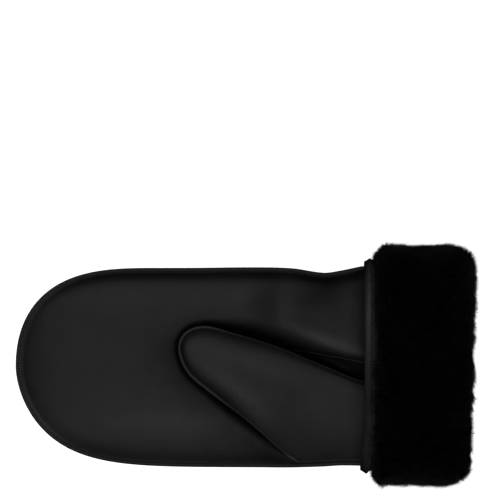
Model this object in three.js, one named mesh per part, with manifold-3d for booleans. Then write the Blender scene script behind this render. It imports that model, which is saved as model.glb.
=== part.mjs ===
import * as THREE from "three";
import { mergeVertices } from "three/addons/utils/BufferGeometryUtils.js";
import Module from "manifold-3d";

// A left-hand leather mitten with a turned-back fur cuff, lying on its back with its thumb over the palm.
// Lengths are millimetres. X runs from the fingertips to the cuff, Y from the thumb side to the little
// finger, Z up.

const wasm = await Module();
wasm.setup();

// Driving dimensions of the hand
const HAND_LENGTH = 211.4; // fingertips to the cuff band
const HAND_WIDTH = 121.4; // outside of the edge welt
const HAND_SHIFT = -1.3; // centre line of the hand, measured from that of the cuff
const PALM_LOFT = 14.8; // fullness above the edge seam
const BACK_LOFT = 16; // fullness below it
const LOFT_REACH = 70; // length over which both fall away to the fingertips
const SEAM_REST_HEIGHT = 13.5; // edge seam above the surface that the mitten lies on
const TIP_DROOP = 0.14; // how far the seam sinks at the fingertips, as a share of that height
const LEATHER = 1.6;
const PIECE_GAP = 0.35;

// Edge welt, back seam and thumb
const WELT_SHOWS = 2.4; // how far the welt stands out of the seam
const WELT_WIDTH = 3.7;
const WELT_HEIGHT = 2;
const BACK_STRIP_WIDTH = 3.9;
const THUMB_WELT_SHOWS = 1.3;
const THUMB_WELT_WIDTH = 2.2;
const THUMB_WELT_HEIGHT = 1.5;
const THUMB_LOFT = 10; // fullness of the thumb above its own seam
const THUMB_DROP = 8; // the same below it
const THUMB_RISE = 4.5; // thumb seam above the undented palm
const THUMB_TIP_HALF_WIDTH = 13;
const THUMB_ROLL_DEPTH = 3; // how far its edge turns under, by the cuff
const THUMB_CLEARANCE = 2.4; // between its underside and the palm
const THUMB_DENT = 5; // how deep the thumb presses into the palm
const PLEAT_DEPTH = 8; // recess between the palm's fold and the thumb, at the cuff

// Cuff and the leather band on its hem
const CUFF_LENGTH = 62.6;
const CUFF_WIDTH = 147.4;
const CUFF_HEIGHT = 66;
const CUFF_SQUASH = 1.6; // how far its own weight flattens the fur
const CUFF_SKEW = -3.8; // the mouth's slant across the width
const MOUTH_WIDTH = 104;
const MOUTH_HEIGHT = 22;
const MOUTH_FILLET = 17;
const HEM_FILLET = 6;
const POCKET_DEPTH = 9; // how far the leather goes in under the hem
const LOCK_DEPTH = 1.3; // how far the locks of fur stand out of the pile
const LOCK_PITCH = 7.6;
const BAND_WIDTH = 5.2;
const BAND_THICKNESS = 3.6;
const BAND_EDGE = 0.35; // its thickness at the edges, as a share of that in the middle
const BAND_SIDES = 5; // facets of its round outer face

// Shape of the sections: exponents of superellipses
const LOFT_POWER = 2.4;
const CUFF_POWER = 2.7;

// The round corners at the fingertips: length as a share of the hand's width, exponents along and across.
const TIP_CORNERS = {
  little: { reach: 0.741, along: 3.27, across: 2.23 },
  thumb: { reach: 1.384, along: 5.98, across: 1.69 },
};
const TIP_ZONE = 85; // where the cross-sections crowd together

// The hand from the band (along 0) to the fingertips (along 1). little and thumb are shares of half the
// width, lift goes from the resting seam (0) to the middle of the cuff (1), palm and back are shares of
// the two lofts.
const HAND_ROWS = [
  { along: 0.0, little: 1.016, thumb: 0.986, lift: 1.0, palm: 1.16, back: 1.06 },
  { along: 0.06, little: 0.972, thumb: 0.985, lift: 0.84, palm: 1.14, back: 1.1 },
  { along: 0.11, little: 0.95, thumb: 0.99, lift: 0.7, palm: 1.12, back: 1.12 },
  { along: 0.2, little: 0.994, thumb: 1.0, lift: 0.45, palm: 1.08, back: 1.12 },
  { along: 0.3, little: 1.004, thumb: 1.0, lift: 0.24, palm: 1.05, back: 1.08 },
  { along: 0.5, little: 0.998, thumb: 1.0, lift: 0.06, palm: 1.0, back: 1.0 },
  { along: 0.75, little: 0.998, thumb: 1.0, lift: 0.0, palm: 0.97, back: 0.92 },
  { along: 1.0, little: 0.998, thumb: 1.0, lift: 0.0, palm: 0.9, back: 0.86 },
];

// Plan of the thumb's leather edge from the cuff round its tip, to just before it meets the hand's edge seam.
// along is a share of the hand's length from the band, across of its width from the centre line.
const THUMB_EDGE = [
  { along: -0.09, across: -0.118 },
  { along: 0.0, across: -0.098 },
  { along: 0.115, across: -0.007 },
  { along: 0.25, across: 0.1 },
  { along: 0.384, across: 0.172 },
  { along: 0.46, across: 0.195 },
  { along: 0.505, across: 0.165 },
  { along: 0.521, across: 0.1, tip: true },
  { along: 0.499, across: -0.012 },
  { along: 0.423, across: -0.13 },
  { along: 0.315, across: -0.283 },
  { along: 0.24, across: -0.4 },
  { along: 0.206, across: -0.453 },
];
const THUMB_MEETS_SEAM = 0.178; // from here to the cuff the two seams run together

// Stretch of the hand, as shares of its length, over which the dent passes from pleat to plain, and the
// width of the dent's slope in both, as a share of the thumb's dent.
const PLEAT_FADES = [0.08, 0.3];
const DENT_SLOPE = { pleat: 0.6, plain: 1.8 };

// Where along the thumb its shape changes, as shares of the way from inside the cuff to the tip.
const THUMB_STAGES = {
  rollFades: [0.1, 0.5],
  palmSideRises: [0.12, 0.42],
  seamSideRises: [0.42, 0.64],
  swells: [0.05, 0.45],
  weltStarts: 0.34,
};

// Where the palm starts to dip towards the thumb: the fold at the cuff, then round the tip.
const PALM_FOLD = [
  { along: -0.09, across: 0.035 },
  { along: 0.0, across: 0.018 },
  { along: 0.053, across: 0.038 },
  { along: 0.115, across: 0.064 },
  { along: 0.18, across: 0.1 },
  { along: 0.25, across: 0.135 },
  { along: 0.384, across: 0.2 },
  { along: 0.47, across: 0.22 },
  { along: 0.525, across: 0.18 },
  { along: 0.54, across: 0.1 },
  { along: 0.515, across: -0.03 },
  { along: 0.437, across: -0.165 },
  { along: 0.33, across: -0.33 },
  { along: 0.26, across: -0.405 },
  { along: 0.215, across: -0.46 },
  { along: 0.17, across: -0.6 },
  { along: -0.09, across: -0.6 },
];

// Plan of the thumb hole, through the palm and the thumb's underside.
const THUMB_HOLE = [
  { along: -0.2, across: -0.165 },
  { along: 0.02, across: -0.165 },
  { along: 0.12, across: -0.082 },
  { along: 0.2, across: -0.02 },
  { along: 0.27, across: 0.0 },
  { along: 0.32, across: -0.035 },
  { along: 0.34, across: -0.11 },
  { along: 0.33, across: -0.2 },
  { along: 0.305, across: -0.28 },
  { along: 0.275, across: -0.36 },
  { along: 0.242, across: -0.419 },
  { along: 0.206, across: -0.47 },
  { along: 0.185, across: -0.482 },
  { along: 0.172, across: -0.6 },
  { along: -0.2, across: -0.6 },
];

// Counts of facets
const STRAIGHT_STATIONS = 14;
const TIP_STATIONS = 14;
const PALM_FACETS = 20;
const BACK_FACETS = 8;
const THUMB_STATIONS = 20;
const THUMB_FACETS = 10;
const EDGE_STEPS = 8; // between two rows of the thumb's plan
const SEAM_STEPS = 9; // along its stretch on the edge seam
const OUTLINE_STEPS = 5; // between two rows of the fold
const HOLE_STEPS = 3;
const THUMB_WELT_STEPS = 40;
const FILLET_STEPS = 4;
const WELT_SIDES = 6;
const OVAL_STEPS = 44;

const HALF_WIDTH = HAND_WIDTH / 2;
const HAND_X = HAND_LENGTH - (HAND_LENGTH + BAND_WIDTH + CUFF_LENGTH) / 2; // the band's edge on the hand
const TIP_X = HAND_X - HAND_LENGTH;
const HEM_X = HAND_X + BAND_WIDTH + PIECE_GAP; // where the fur starts
const LEATHER_END_X = HEM_X + POCKET_DEPTH - PIECE_GAP;
const RIM_INSET = WELT_SHOWS; // from the outline to the leather edges
const SEAM_GAP = WELT_HEIGHT + 2 * PIECE_GAP; // between the leather edges, with the welt in it
const THUMB_SEAM_GAP = THUMB_WELT_HEIGHT + 2 * PIECE_GAP;
const MID_HEIGHT = CUFF_HEIGHT / 2;

const clamp = (value, low, high) => Math.min(high, Math.max(low, value));
const smoothstep = (value, low, high) => {
  const t = clamp((value - low) / (high - low), 0, 1);
  return t * t * (3 - 2 * t);
};
const roundOff = (share, power) => Math.pow(Math.max(0, 1 - Math.pow(Math.abs(share), power)), 1 / power);
const squared = (value, power) => Math.sign(value) * Math.pow(Math.abs(value), 2 / power);
const alongAt = (x) => (HAND_X - x) / HAND_LENGTH;

// A column of a table at a given share along, by Hermite pieces whose slopes are those of the rows beside.
function column(rows, name, along) {
  const a = clamp(along, rows[0].along, rows[rows.length - 1].along);
  const i = clamp(rows.findIndex((row) => row.along >= a) - 1, 0, rows.length - 2);
  const slope = (k) => {
    const [before, after] = [rows[Math.max(0, k - 1)], rows[Math.min(rows.length - 1, k + 1)]];
    return (after[name] - before[name]) / (after.along - before.along);
  };
  const span = rows[i + 1].along - rows[i].along;
  const t = (a - rows[i].along) / span;
  return (
    rows[i][name] * (1 + 2 * t) * (1 - t) * (1 - t) +
    rows[i + 1][name] * t * t * (3 - 2 * t) +
    slope(i) * span * t * (1 - t) * (1 - t) +
    slope(i + 1) * span * t * t * (t - 1)
  );
}

// The table of plan points as a smooth line in millimetres, with steps pieces between two points.
function planLine(points, steps) {
  const corners = points.map(
    (p) => new THREE.Vector3(HAND_X - p.along * HAND_LENGTH, HAND_SHIFT + p.across * HAND_WIDTH, 0),
  );
  return new THREE.CatmullRomCurve3(corners).getPoints(steps * (points.length - 1));
}

// Distance of a plan point from a closed outline, positive inside.
function depthInside(outline, x, y) {
  let nearest = Infinity;
  let inside = false;
  outline.forEach((a, i) => {
    const b = outline[(i + 1) % outline.length];
    const along = clamp(
      ((x - a.x) * (b.x - a.x) + (y - a.y) * (b.y - a.y)) / ((b.x - a.x) ** 2 + (b.y - a.y) ** 2),
      0,
      1,
    );
    nearest = Math.min(nearest, Math.hypot(x - a.x - along * (b.x - a.x), y - a.y - along * (b.y - a.y)));
    if (a.y > y !== b.y > y && x < ((b.x - a.x) * (y - a.y)) / (b.y - a.y) + a.x) {
      inside = !inside;
    }
  });
  return inside ? nearest : -nearest;
}

// Half the hand's width at x on one side, to a line that runs inset inside the outline.
function halfWidth(x, side, inset) {
  const corner = TIP_CORNERS[side];
  const reach = corner.reach * HAND_WIDTH;
  const share = clamp((TIP_X + reach - x) / (reach - inset), 0, 1);
  const round = Math.pow(1 - Math.pow(share, corner.along), 1 / corner.across);
  return (HALF_WIDTH * column(HAND_ROWS, side, alongAt(x)) - inset) * round;
}

// Height of the edge seam.
function seamHeight(x) {
  const lift = column(HAND_ROWS, "lift", alongAt(x));
  const rest = SEAM_REST_HEIGHT * (1 - TIP_DROOP * smoothstep(alongAt(x), 0.5, 1));
  return rest + (MID_HEIGHT - rest) * lift;
}

// Fullness of the palm or the back over the middle, which rounds off at the fingertips.
function loft(x, face) {
  const share = clamp((TIP_X + LOFT_REACH - x) / (LOFT_REACH - RIM_INSET), 0, 1);
  const full = face === "palm" ? PALM_LOFT : BACK_LOFT;
  return full * column(HAND_ROWS, face, alongAt(x)) * roundOff(share, LOFT_POWER);
}

// Where a plan point lies across the hand, from -1 on the thumb side's leather edge to 1 on the other's.
function acrossShare(x, y) {
  const side = y > HAND_SHIFT ? "little" : "thumb";
  const half = halfWidth(x, side, RIM_INSET);
  return half > 0 ? clamp((y - HAND_SHIFT) / half, -1, 1) : 0;
}

const foldOutline = planLine(PALM_FOLD, OUTLINE_STEPS);

// Top of the hand without the thumb's dent, then with it.
function handTop(x, y) {
  return seamHeight(x) + SEAM_GAP / 2 + loft(x, "palm") * roundOff(acrossShare(x, y), LOFT_POWER);
}
function palmTop(x, y) {
  const plain = smoothstep(alongAt(x), ...PLEAT_FADES);
  const depth = PLEAT_DEPTH + (THUMB_DENT - PLEAT_DEPTH) * plain;
  const slope = THUMB_DENT * (DENT_SLOPE.pleat + (DENT_SLOPE.plain - DENT_SLOPE.pleat) * plain);
  const dent = depth * smoothstep(depthInside(foldOutline, x, y), 0, slope);
  return handTop(x, y) - dent * roundOff(acrossShare(x, y), LOFT_POWER);
}

// Underside of the hand, flat where it rests.
function handBottom(x, y) {
  const hang = seamHeight(x) - SEAM_GAP / 2 - loft(x, "back") * roundOff(acrossShare(x, y), LOFT_POWER);
  return Math.max(0, hang);
}

// X of the cross-sections, closer together towards the fingertips.
function handStations(inset = RIM_INSET) {
  const start = TIP_X + TIP_ZONE;
  const stations = [LEATHER_END_X];
  for (let i = 0; i < STRAIGHT_STATIONS; i++) {
    stations.push(HAND_X + ((start - HAND_X) * i) / STRAIGHT_STATIONS);
  }
  for (let i = 0; i <= TIP_STATIONS; i++) {
    stations.push(start - (TIP_ZONE - inset) * Math.sin((Math.PI / 2) * (i / TIP_STATIONS)));
  }
  return stations;
}

// Rows of points across the hand at a height that depends on the place, between two shares of a half turn.
function handRows(height, from, to, facets) {
  return handStations().map((x) => {
    const row = [];
    for (let j = 0; j <= facets; j++) {
      const [start, end] = [from, to].map((limit) => limit(x));
      const share = start + ((end - start) * j) / facets;
      const across = squared(Math.cos(share * Math.PI), LOFT_POWER);
      const y = HAND_SHIFT + across * halfWidth(x, across > 0 ? "little" : "thumb", RIM_INSET);
      row.push(new THREE.Vector3(x, y, height(x, y)));
    }
    return row;
  });
}

// Outward direction of each point of a grid: the mean of the faces about it, level along the rim columns.
function directions(rows, side, rimColumns) {
  const last = rows.length - 1;
  return rows.map((row, i) =>
    row.map((point, j) => {
      if (i === last && row[0].distanceTo(row[row.length - 1]) < 1e-6) {
        return rimColumns.pole.clone();
      }
      const [before, after] = [rows[Math.max(0, i - 1)][j], rows[Math.min(last, i + 1)][j]];
      const [left, right] = [row[Math.max(0, j - 1)], row[Math.min(row.length - 1, j + 1)]];
      const along = new THREE.Vector3().subVectors(after, before);
      const across = new THREE.Vector3().subVectors(right, left);
      const out = new THREE.Vector3().crossVectors(along, across).normalize();
      if (out.z * side < 0) {
        out.negate();
      }
      if ((j === 0 && rimColumns.first) || (j === row.length - 1 && rimColumns.last)) {
        out.set(along.y, -along.x, 0).normalize();
        const outward = point.clone().sub(row[j === 0 ? row.length - 1 : 0]);
        if (out.dot(outward) < 0) {
          out.negate();
        }
      }
      return out;
    }),
  );
}

// A closed solid between two grids of points that correspond.
function shellSolid(outer, inner) {
  const [rows, columns] = [outer.length, outer[0].length];
  const positions = [...outer.flat(), ...inner.flat()];
  const at = (layer, i, j) => layer * rows * columns + i * columns + j;
  const triangles = [];
  const quad = (a, b, c, d) => triangles.push([a, b, c], [a, c, d]);
  for (let i = 0; i + 1 < rows; i++) {
    for (let j = 0; j + 1 < columns; j++) {
      quad(at(0, i, j), at(0, i + 1, j), at(0, i + 1, j + 1), at(0, i, j + 1));
      quad(at(1, i, j), at(1, i, j + 1), at(1, i + 1, j + 1), at(1, i + 1, j));
    }
    quad(at(0, i, 0), at(1, i, 0), at(1, i + 1, 0), at(0, i + 1, 0));
    quad(at(0, i, columns - 1), at(0, i + 1, columns - 1), at(1, i + 1, columns - 1), at(1, i, columns - 1));
  }
  for (let j = 0; j + 1 < columns; j++) {
    quad(at(0, 0, j), at(0, 0, j + 1), at(1, 0, j + 1), at(1, 0, j));
    quad(at(0, rows - 1, j), at(1, rows - 1, j), at(1, rows - 1, j + 1), at(0, rows - 1, j + 1));
  }
  return closedGeometry(positions, triangles);
}

// A solid tube through rings of points, either with flat ends or closed into a loop.
function tubeSolid(rings, loop) {
  const sides = rings[0].length;
  const positions = rings.flat();
  const triangles = [];
  const spans = loop ? rings.length : rings.length - 1;
  for (let i = 0; i < spans; i++) {
    const next = (i + 1) % rings.length;
    for (let j = 0; j < sides; j++) {
      const k = (j + 1) % sides;
      triangles.push([i * sides + j, i * sides + k, next * sides + k]);
      triangles.push([i * sides + j, next * sides + k, next * sides + j]);
    }
  }
  for (let j = 1; !loop && j + 1 < sides; j++) {
    const end = (rings.length - 1) * sides;
    triangles.push([0, j + 1, j], [end, end + j, end + j + 1]);
  }
  return closedGeometry(positions, triangles);
}

// An indexed geometry with shared vertices and no collapsed faces, all pointing out.
function closedGeometry(positions, triangles) {
  const raw = new THREE.BufferGeometry().setFromPoints(positions);
  raw.setIndex(triangles.flat());
  const merged = mergeVertices(raw, 1e-4);
  const index = [];
  for (let i = 0; i < merged.index.count; i += 3) {
    const [a, b, c] = [0, 1, 2].map((k) => merged.index.getX(i + k));
    if (a !== b && b !== c && a !== c) {
      index.push(a, b, c);
    }
  }
  merged.setIndex(index);
  return volume(merged) < 0 ? turned(merged) : merged;
}

function volume(geometry) {
  const p = geometry.attributes.position;
  const corner = (i) => new THREE.Vector3().fromBufferAttribute(p, geometry.index.getX(i));
  let six = 0;
  for (let i = 0; i < geometry.index.count; i += 3) {
    six += corner(i).dot(corner(i + 1).cross(corner(i + 2)));
  }
  return six / 6;
}

function turned(geometry) {
  const index = Array.from(geometry.index.array);
  for (let i = 0; i < index.length; i += 3) {
    [index[i + 1], index[i + 2]] = [index[i + 2], index[i + 1]];
  }
  return geometry.setIndex(index);
}

function toManifold(geometry) {
  return new wasm.Manifold(
    new wasm.Mesh({
      numProp: 3,
      vertProperties: new Float32Array(geometry.attributes.position.array),
      triVerts: new Uint32Array(geometry.index.array),
    }),
  );
}

function fromManifold(solid) {
  const mesh = solid.getMesh();
  const geometry = new THREE.BufferGeometry();
  geometry.setAttribute("position", new THREE.BufferAttribute(new Float32Array(mesh.vertProperties), 3));
  return geometry.setIndex(new THREE.BufferAttribute(new Uint32Array(mesh.triVerts), 1));
}

// The geometry less an upright prism over a plan outline, the largest piece kept.
function cutThrough(geometry, outline) {
  const shape = new THREE.Shape(outline.map((p) => new THREE.Vector2(p.x, p.y)));
  const prism = new THREE.ExtrudeGeometry(shape, { depth: 3 * CUFF_HEIGHT, bevelEnabled: false });
  prism.translate(0, 0, -CUFF_HEIGHT);
  prism.deleteAttribute("normal");
  prism.deleteAttribute("uv");
  const left = toManifold(geometry).subtract(toManifold(mergeVertices(prism, 1e-4)));
  const pieces = left.decompose().sort((a, b) => b.volume() - a.volume());
  return fromManifold(pieces[0]);
}

const offset = (rows, ways, distance) =>
  rows.map((row, i) => row.map((point, j) => point.clone().addScaledVector(ways[i][j], distance)));

// The two faces of the hand
const TIP_WAY = new THREE.Vector3(-1, 0, 0);

function palmPanel() {
  const outer = handRows(palmTop, () => 0, () => 1, PALM_FACETS);
  const ways = directions(outer, 1, { first: true, last: true, pole: TIP_WAY });
  return cutThrough(shellSolid(outer, offset(outer, ways, -LEATHER)), planLine(THUMB_HOLE, HOLE_STEPS));
}

// Share of the half turn at which the back strip's edge lies, from its distance to the centre line.
function stripShare(x, distance) {
  const half = halfWidth(x, distance > 0 ? "little" : "thumb", RIM_INSET);
  const across = clamp(Math.abs(distance) / Math.max(half, 1e-6), 0, 1);
  const share = Math.acos(Math.pow(across, LOFT_POWER / 2)) / Math.PI;
  return distance > 0 ? share : 1 - share;
}

// One half of the back, on the little finger's side (1) or the thumb's (-1), as far as it is wide enough.
function backPanel(side) {
  const edge = (x) => stripShare(x, side * (BACK_STRIP_WIDTH / 2 + PIECE_GAP));
  const [from, to] = side > 0 ? [() => 0, edge] : [edge, () => 1];
  const outer = handRows(handBottom, from, to, BACK_FACETS).filter(
    (row) => row[0].y - row[row.length - 1].y > 2 * LEATHER,
  );
  const ways = directions(outer, -1, { first: side > 0, last: side < 0, pole: TIP_WAY });
  return shellSolid(outer, offset(outer, ways, -LEATHER));
}

function backStrip() {
  const half = BACK_STRIP_WIDTH / 2;
  const outer = handStations()
    .filter((x) => halfWidth(x, "little", RIM_INSET) > BACK_STRIP_WIDTH)
    .map((x) => [-half, half].map((y) => new THREE.Vector3(x, HAND_SHIFT + y, handBottom(x, HAND_SHIFT))));
  const ways = directions(outer, -1, { pole: TIP_WAY });
  return shellSolid(outer, offset(outer, ways, -LEATHER));
}

// A ring of points round a line's point: level and upright radii about the centre, across the line's way.
function sectionRing(centre, way, level, upright, sides) {
  const across = new THREE.Vector3(way.y, -way.x, 0).normalize();
  return Array.from({ length: sides }, (_, k) => {
    const turn = (2 * Math.PI * k) / sides;
    return centre
      .clone()
      .addScaledVector(across, level * Math.cos(turn))
      .add(new THREE.Vector3(0, 0, upright * Math.sin(turn)));
  });
}

function rodAlong(line, level, upright, sides) {
  const rings = line.map((point, i) => {
    const way = line[Math.min(line.length - 1, i + 1)].clone().sub(line[Math.max(0, i - 1)]);
    return sectionRing(point, way, level, upright, sides);
  });
  return tubeSolid(rings, false);
}

// The welt in the seam all round the hand, from one side of the cuff to the other.
function edgeWelt() {
  const inset = WELT_WIDTH / 2;
  const stations = handStations(inset);
  const half = (side, sign) =>
    stations.map((x) => new THREE.Vector3(x, HAND_SHIFT + sign * halfWidth(x, side, inset), seamHeight(x)));
  const line = [...half("little", 1), ...half("thumb", -1).reverse().slice(1)];
  return rodAlong(line, WELT_WIDTH / 2, WELT_HEIGHT / 2, WELT_SIDES);
}

// The thumb's two edges in plan, from inside the cuff to the tip: one over the palm, and one that follows the
// hand's edge seam and then leaves it.
function thumbSides() {
  const tip = THUMB_EDGE.findIndex((p) => p.tip) * EDGE_STEPS;
  const line = planLine(THUMB_EDGE, EDGE_STEPS);
  const overPalm = line.slice(0, tip + 1).filter((p) => p.x < LEATHER_END_X);
  const start = overPalm[0].clone().setX(LEATHER_END_X);
  const meet = HAND_X - THUMB_MEETS_SEAM * HAND_LENGTH;
  const onSeam = Array.from({ length: SEAM_STEPS + 1 }, (_, i) => {
    const x = LEATHER_END_X + ((meet - LEATHER_END_X) * i) / SEAM_STEPS;
    return new THREE.Vector3(x, HAND_SHIFT - halfWidth(x, "thumb", RIM_INSET), 0);
  });
  const free = line.slice(tip).reverse();
  return [[start, ...overPalm], [...onSeam, ...free]].map((points) => new THREE.CatmullRomCurve3(points));
}

const [thumbUpperSide, thumbLowerSide] = thumbSides();

// How far the thumb's edge turns under, at a share u of the way to the tip.
const thumbRoll = (u) => THUMB_ROLL_DEPTH * (1 - smoothstep(u, ...THUMB_STAGES.rollFades));

// Rise of the thumb above the undented palm, at u and from 1 on the palm's side to -1 on the seam's.
function thumbRise(u, across) {
  const palmSide = smoothstep(u, ...THUMB_STAGES.palmSideRises);
  const seamSide = smoothstep(u, ...THUMB_STAGES.seamSideRises);
  return THUMB_RISE * (palmSide + ((seamSide - palmSide) * (1 - across)) / 2);
}

function thumbRows(height) {
  const rows = [];
  for (let i = 0; i <= THUMB_STATIONS; i++) {
    const u = Math.sin((Math.PI / 2) * (i / THUMB_STATIONS));
    const a = thumbUpperSide.getPointAt(u);
    const b = thumbLowerSide.getPointAt(u);
    const half = a.distanceTo(b) / 2;
    const tip = Math.sin((Math.PI / 2) * clamp(half / THUMB_TIP_HALF_WIDTH, 0, 1));
    const row = [];
    for (let j = 0; j <= THUMB_FACETS; j++) {
      const turn = (Math.PI * j) / THUMB_FACETS;
      const across = squared(Math.cos(turn), LOFT_POWER);
      const point = a.clone().lerp(b, (1 - across) / 2);
      const fromEdge = clamp(((1 - across) * half) / THUMB_ROLL_DEPTH, 0, 1);
      const roll = thumbRoll(u) * (1 - roundOff(1 - fromEdge, 2));
      const seam = handTop(point.x, point.y) + thumbRise(u, across) - roll;
      point.z = height(point, seam, u, tip * roundOff(across, LOFT_POWER));
      row.push(point);
    }
    rows.push(row);
  }
  return rows;
}

function thumbUpper() {
  const swell = (u) => THUMB_LOFT * smoothstep(u, ...THUMB_STAGES.swells);
  const outer = thumbRows((point, seam, u, fullness) => seam + swell(u) * fullness);
  const ways = directions(outer, 1, { first: true, last: true, pole: TIP_WAY });
  return shellSolid(outer, offset(outer, ways, -LEATHER));
}

function thumbUnder() {
  const outer = thumbRows((point, seam, u, fullness) => {
    const hang = seam - THUMB_SEAM_GAP - THUMB_DROP * fullness;
    return Math.max(hang, palmTop(point.x, point.y) + THUMB_CLEARANCE);
  });
  const ways = directions(outer, -1, { first: true, last: true, pole: TIP_WAY });
  return cutThrough(shellSolid(outer, offset(outer, ways, -LEATHER)), planLine(THUMB_HOLE, HOLE_STEPS));
}

// The welt round the thumb, just outside its leather edges, as far as the edge seam of the hand.
function thumbWelt() {
  const steps = THUMB_WELT_STEPS;
  const reach = THUMB_WELT_SHOWS - THUMB_WELT_WIDTH / 2;
  const line = [];
  const add = (curve, u, across) => {
    const point = curve.getPointAt(u);
    const way = curve.getTangentAt(u);
    point.add(new THREE.Vector3(way.y, -way.x, 0).multiplyScalar(across * reach));
    if (point.x < HAND_X - PIECE_GAP) {
      const inner = curve.getPointAt(u);
      const roll = across > 0 ? thumbRoll(u) : 0;
      point.z = handTop(inner.x, inner.y) + thumbRise(u, across) - roll - THUMB_SEAM_GAP / 2;
      line.push(point);
    }
  };
  for (let i = 0; i < steps; i++) {
    add(thumbUpperSide, i / steps, 1);
  }
  for (let i = steps; i >= 0; i--) {
    add(thumbLowerSide, 1 - ((1 - THUMB_STAGES.weltStarts) * (steps - i)) / steps, -1);
  }
  return rodAlong(line, THUMB_WELT_WIDTH / 2, THUMB_WELT_HEIGHT / 2, WELT_SIDES);
}

// A point of an oval round the X axis at a share of a turn, squared by power.
function ovalPoint(turn, halfWide, halfHigh, power) {
  const angle = 2 * Math.PI * turn;
  const y = halfWide * squared(Math.cos(angle), power);
  return new THREE.Vector2(y, halfHigh * squared(Math.sin(angle), power));
}

const bodyHalfWide = HALF_WIDTH * HAND_ROWS[0].little + PIECE_GAP;
const bodyHalfHigh = PALM_LOFT * HAND_ROWS[0].palm + SEAM_GAP / 2 + PIECE_GAP;
const pocketHalfWide = bodyHalfWide + PIECE_GAP;
const pocketHalfHigh = bodyHalfHigh + PIECE_GAP;

// The rolled leather band on the hem of the cuff.
function cuffBand() {
  const rings = Array.from({ length: OVAL_STEPS }, (_, i) => {
    const oval = (extra) =>
      ovalPoint(i / OVAL_STEPS, bodyHalfWide + extra, bodyHalfHigh + extra, LOFT_POWER);
    const ring = [
      [HAND_X, 0],
      [HAND_X + BAND_WIDTH, 0],
    ];
    for (let k = 0; k <= BAND_SIDES; k++) {
      const turn = (Math.PI * k) / BAND_SIDES;
      ring.push([
        HAND_X + (BAND_WIDTH / 2) * (1 + Math.cos(turn)),
        BAND_THICKNESS * (BAND_EDGE + (1 - BAND_EDGE) * Math.sin(turn)),
      ]);
    }
    return ring.map(([x, extra]) => {
      const p = oval(extra);
      return new THREE.Vector3(x, HAND_SHIFT + p.x, MID_HEIGHT + p.y);
    });
  });
  return tubeSolid(rings, true);
}

// A point of the cuff, x past its hem, on an oval that may shift sideways. The mouth slants across the
// width, and the underside is flat where it rests.
function cuffPoint(x, oval, shift) {
  const y = oval.x + shift;
  const slant = (CUFF_SKEW * smoothstep(x, POCKET_DEPTH, CUFF_LENGTH) * -y) / CUFF_WIDTH;
  return new THREE.Vector3(HEM_X + x + slant, y, Math.max(0, MID_HEIGHT + oval.y));
}

// The turned-back cuff: deep fur outside, over the mouth and inside, with a pocket for the leather's end.
function cuffFur() {
  const profile = [];
  const outerRows = Math.round((CUFF_LENGTH - MOUTH_FILLET - HEM_FILLET) / LOCK_PITCH);
  const fillet = (centreX, radius, from, to, steps) => {
    for (let k = 0; k <= steps; k++) {
      const turn = from + ((to - from) * k) / steps;
      profile.push({ x: centreX + radius * Math.cos(turn), sink: radius * (1 - Math.sin(turn)) });
    }
  };
  fillet(HEM_FILLET, HEM_FILLET, Math.PI, Math.PI / 2, FILLET_STEPS / 2);
  for (let k = 1; k < outerRows; k++) {
    profile.push({ x: HEM_FILLET + (CUFF_LENGTH - MOUTH_FILLET - HEM_FILLET) * (k / outerRows), sink: 0 });
  }
  fillet(CUFF_LENGTH - MOUTH_FILLET, MOUTH_FILLET, Math.PI / 2, 0, FILLET_STEPS);
  const [mouthWide, mouthHigh] = [MOUTH_WIDTH / 2, MOUTH_HEIGHT / 2];
  const lip = MOUTH_FILLET / 4; // how far the mouth flares
  const inside = [
    { x: CUFF_LENGTH - PIECE_GAP, wide: mouthWide + lip, high: mouthHigh + lip, shift: 0 },
    { x: CUFF_LENGTH - 2 * lip, wide: mouthWide, high: mouthHigh, shift: 0 },
    { x: (CUFF_LENGTH + POCKET_DEPTH) / 2, wide: mouthWide, high: mouthHigh, shift: HAND_SHIFT / 2 },
    { x: POCKET_DEPTH, wide: mouthWide, high: mouthHigh, shift: HAND_SHIFT },
    { x: POCKET_DEPTH, wide: pocketHalfWide, high: pocketHalfHigh, shift: HAND_SHIFT },
    { x: 0, wide: pocketHalfWide, high: pocketHalfHigh, shift: HAND_SHIFT },
  ];
  const rings = Array.from({ length: OVAL_STEPS }, (_, i) => {
    const turn = i / OVAL_STEPS;
    const outer = profile.map((p, k) => {
      const sink = p.sink + ((i + k) % 2 === 0 ? 0 : LOCK_DEPTH);
      const oval = ovalPoint(turn, CUFF_WIDTH / 2 - sink, MID_HEIGHT + CUFF_SQUASH - sink, CUFF_POWER);
      return cuffPoint(p.x, oval, 0);
    });
    const lining = inside.map((p) => cuffPoint(p.x, ovalPoint(turn, p.wide, p.high, LOFT_POWER), p.shift));
    return [...outer, ...lining];
  });
  return tubeSolid(rings, true);
}

const leather = (lightness, roughness) =>
  new THREE.MeshStandardMaterial({
    color: new THREE.Color().setScalar(lightness),
    roughness,
    metalness: 0,
    side: THREE.DoubleSide,
  });

const MATERIALS = {
  leather: leather(0.028, 0.48),
  trim: leather(0.022, 0.55),
  fur: new THREE.MeshStandardMaterial({ color: new THREE.Color(0.006, 0.005, 0.005), roughness: 1 }),
};

const mitten = new THREE.Group();

function add(name, geometry, material) {
  geometry.computeVertexNormals();
  const mesh = new THREE.Mesh(geometry, MATERIALS[material]);
  mesh.name = name;
  mitten.add(mesh);
}

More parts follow.
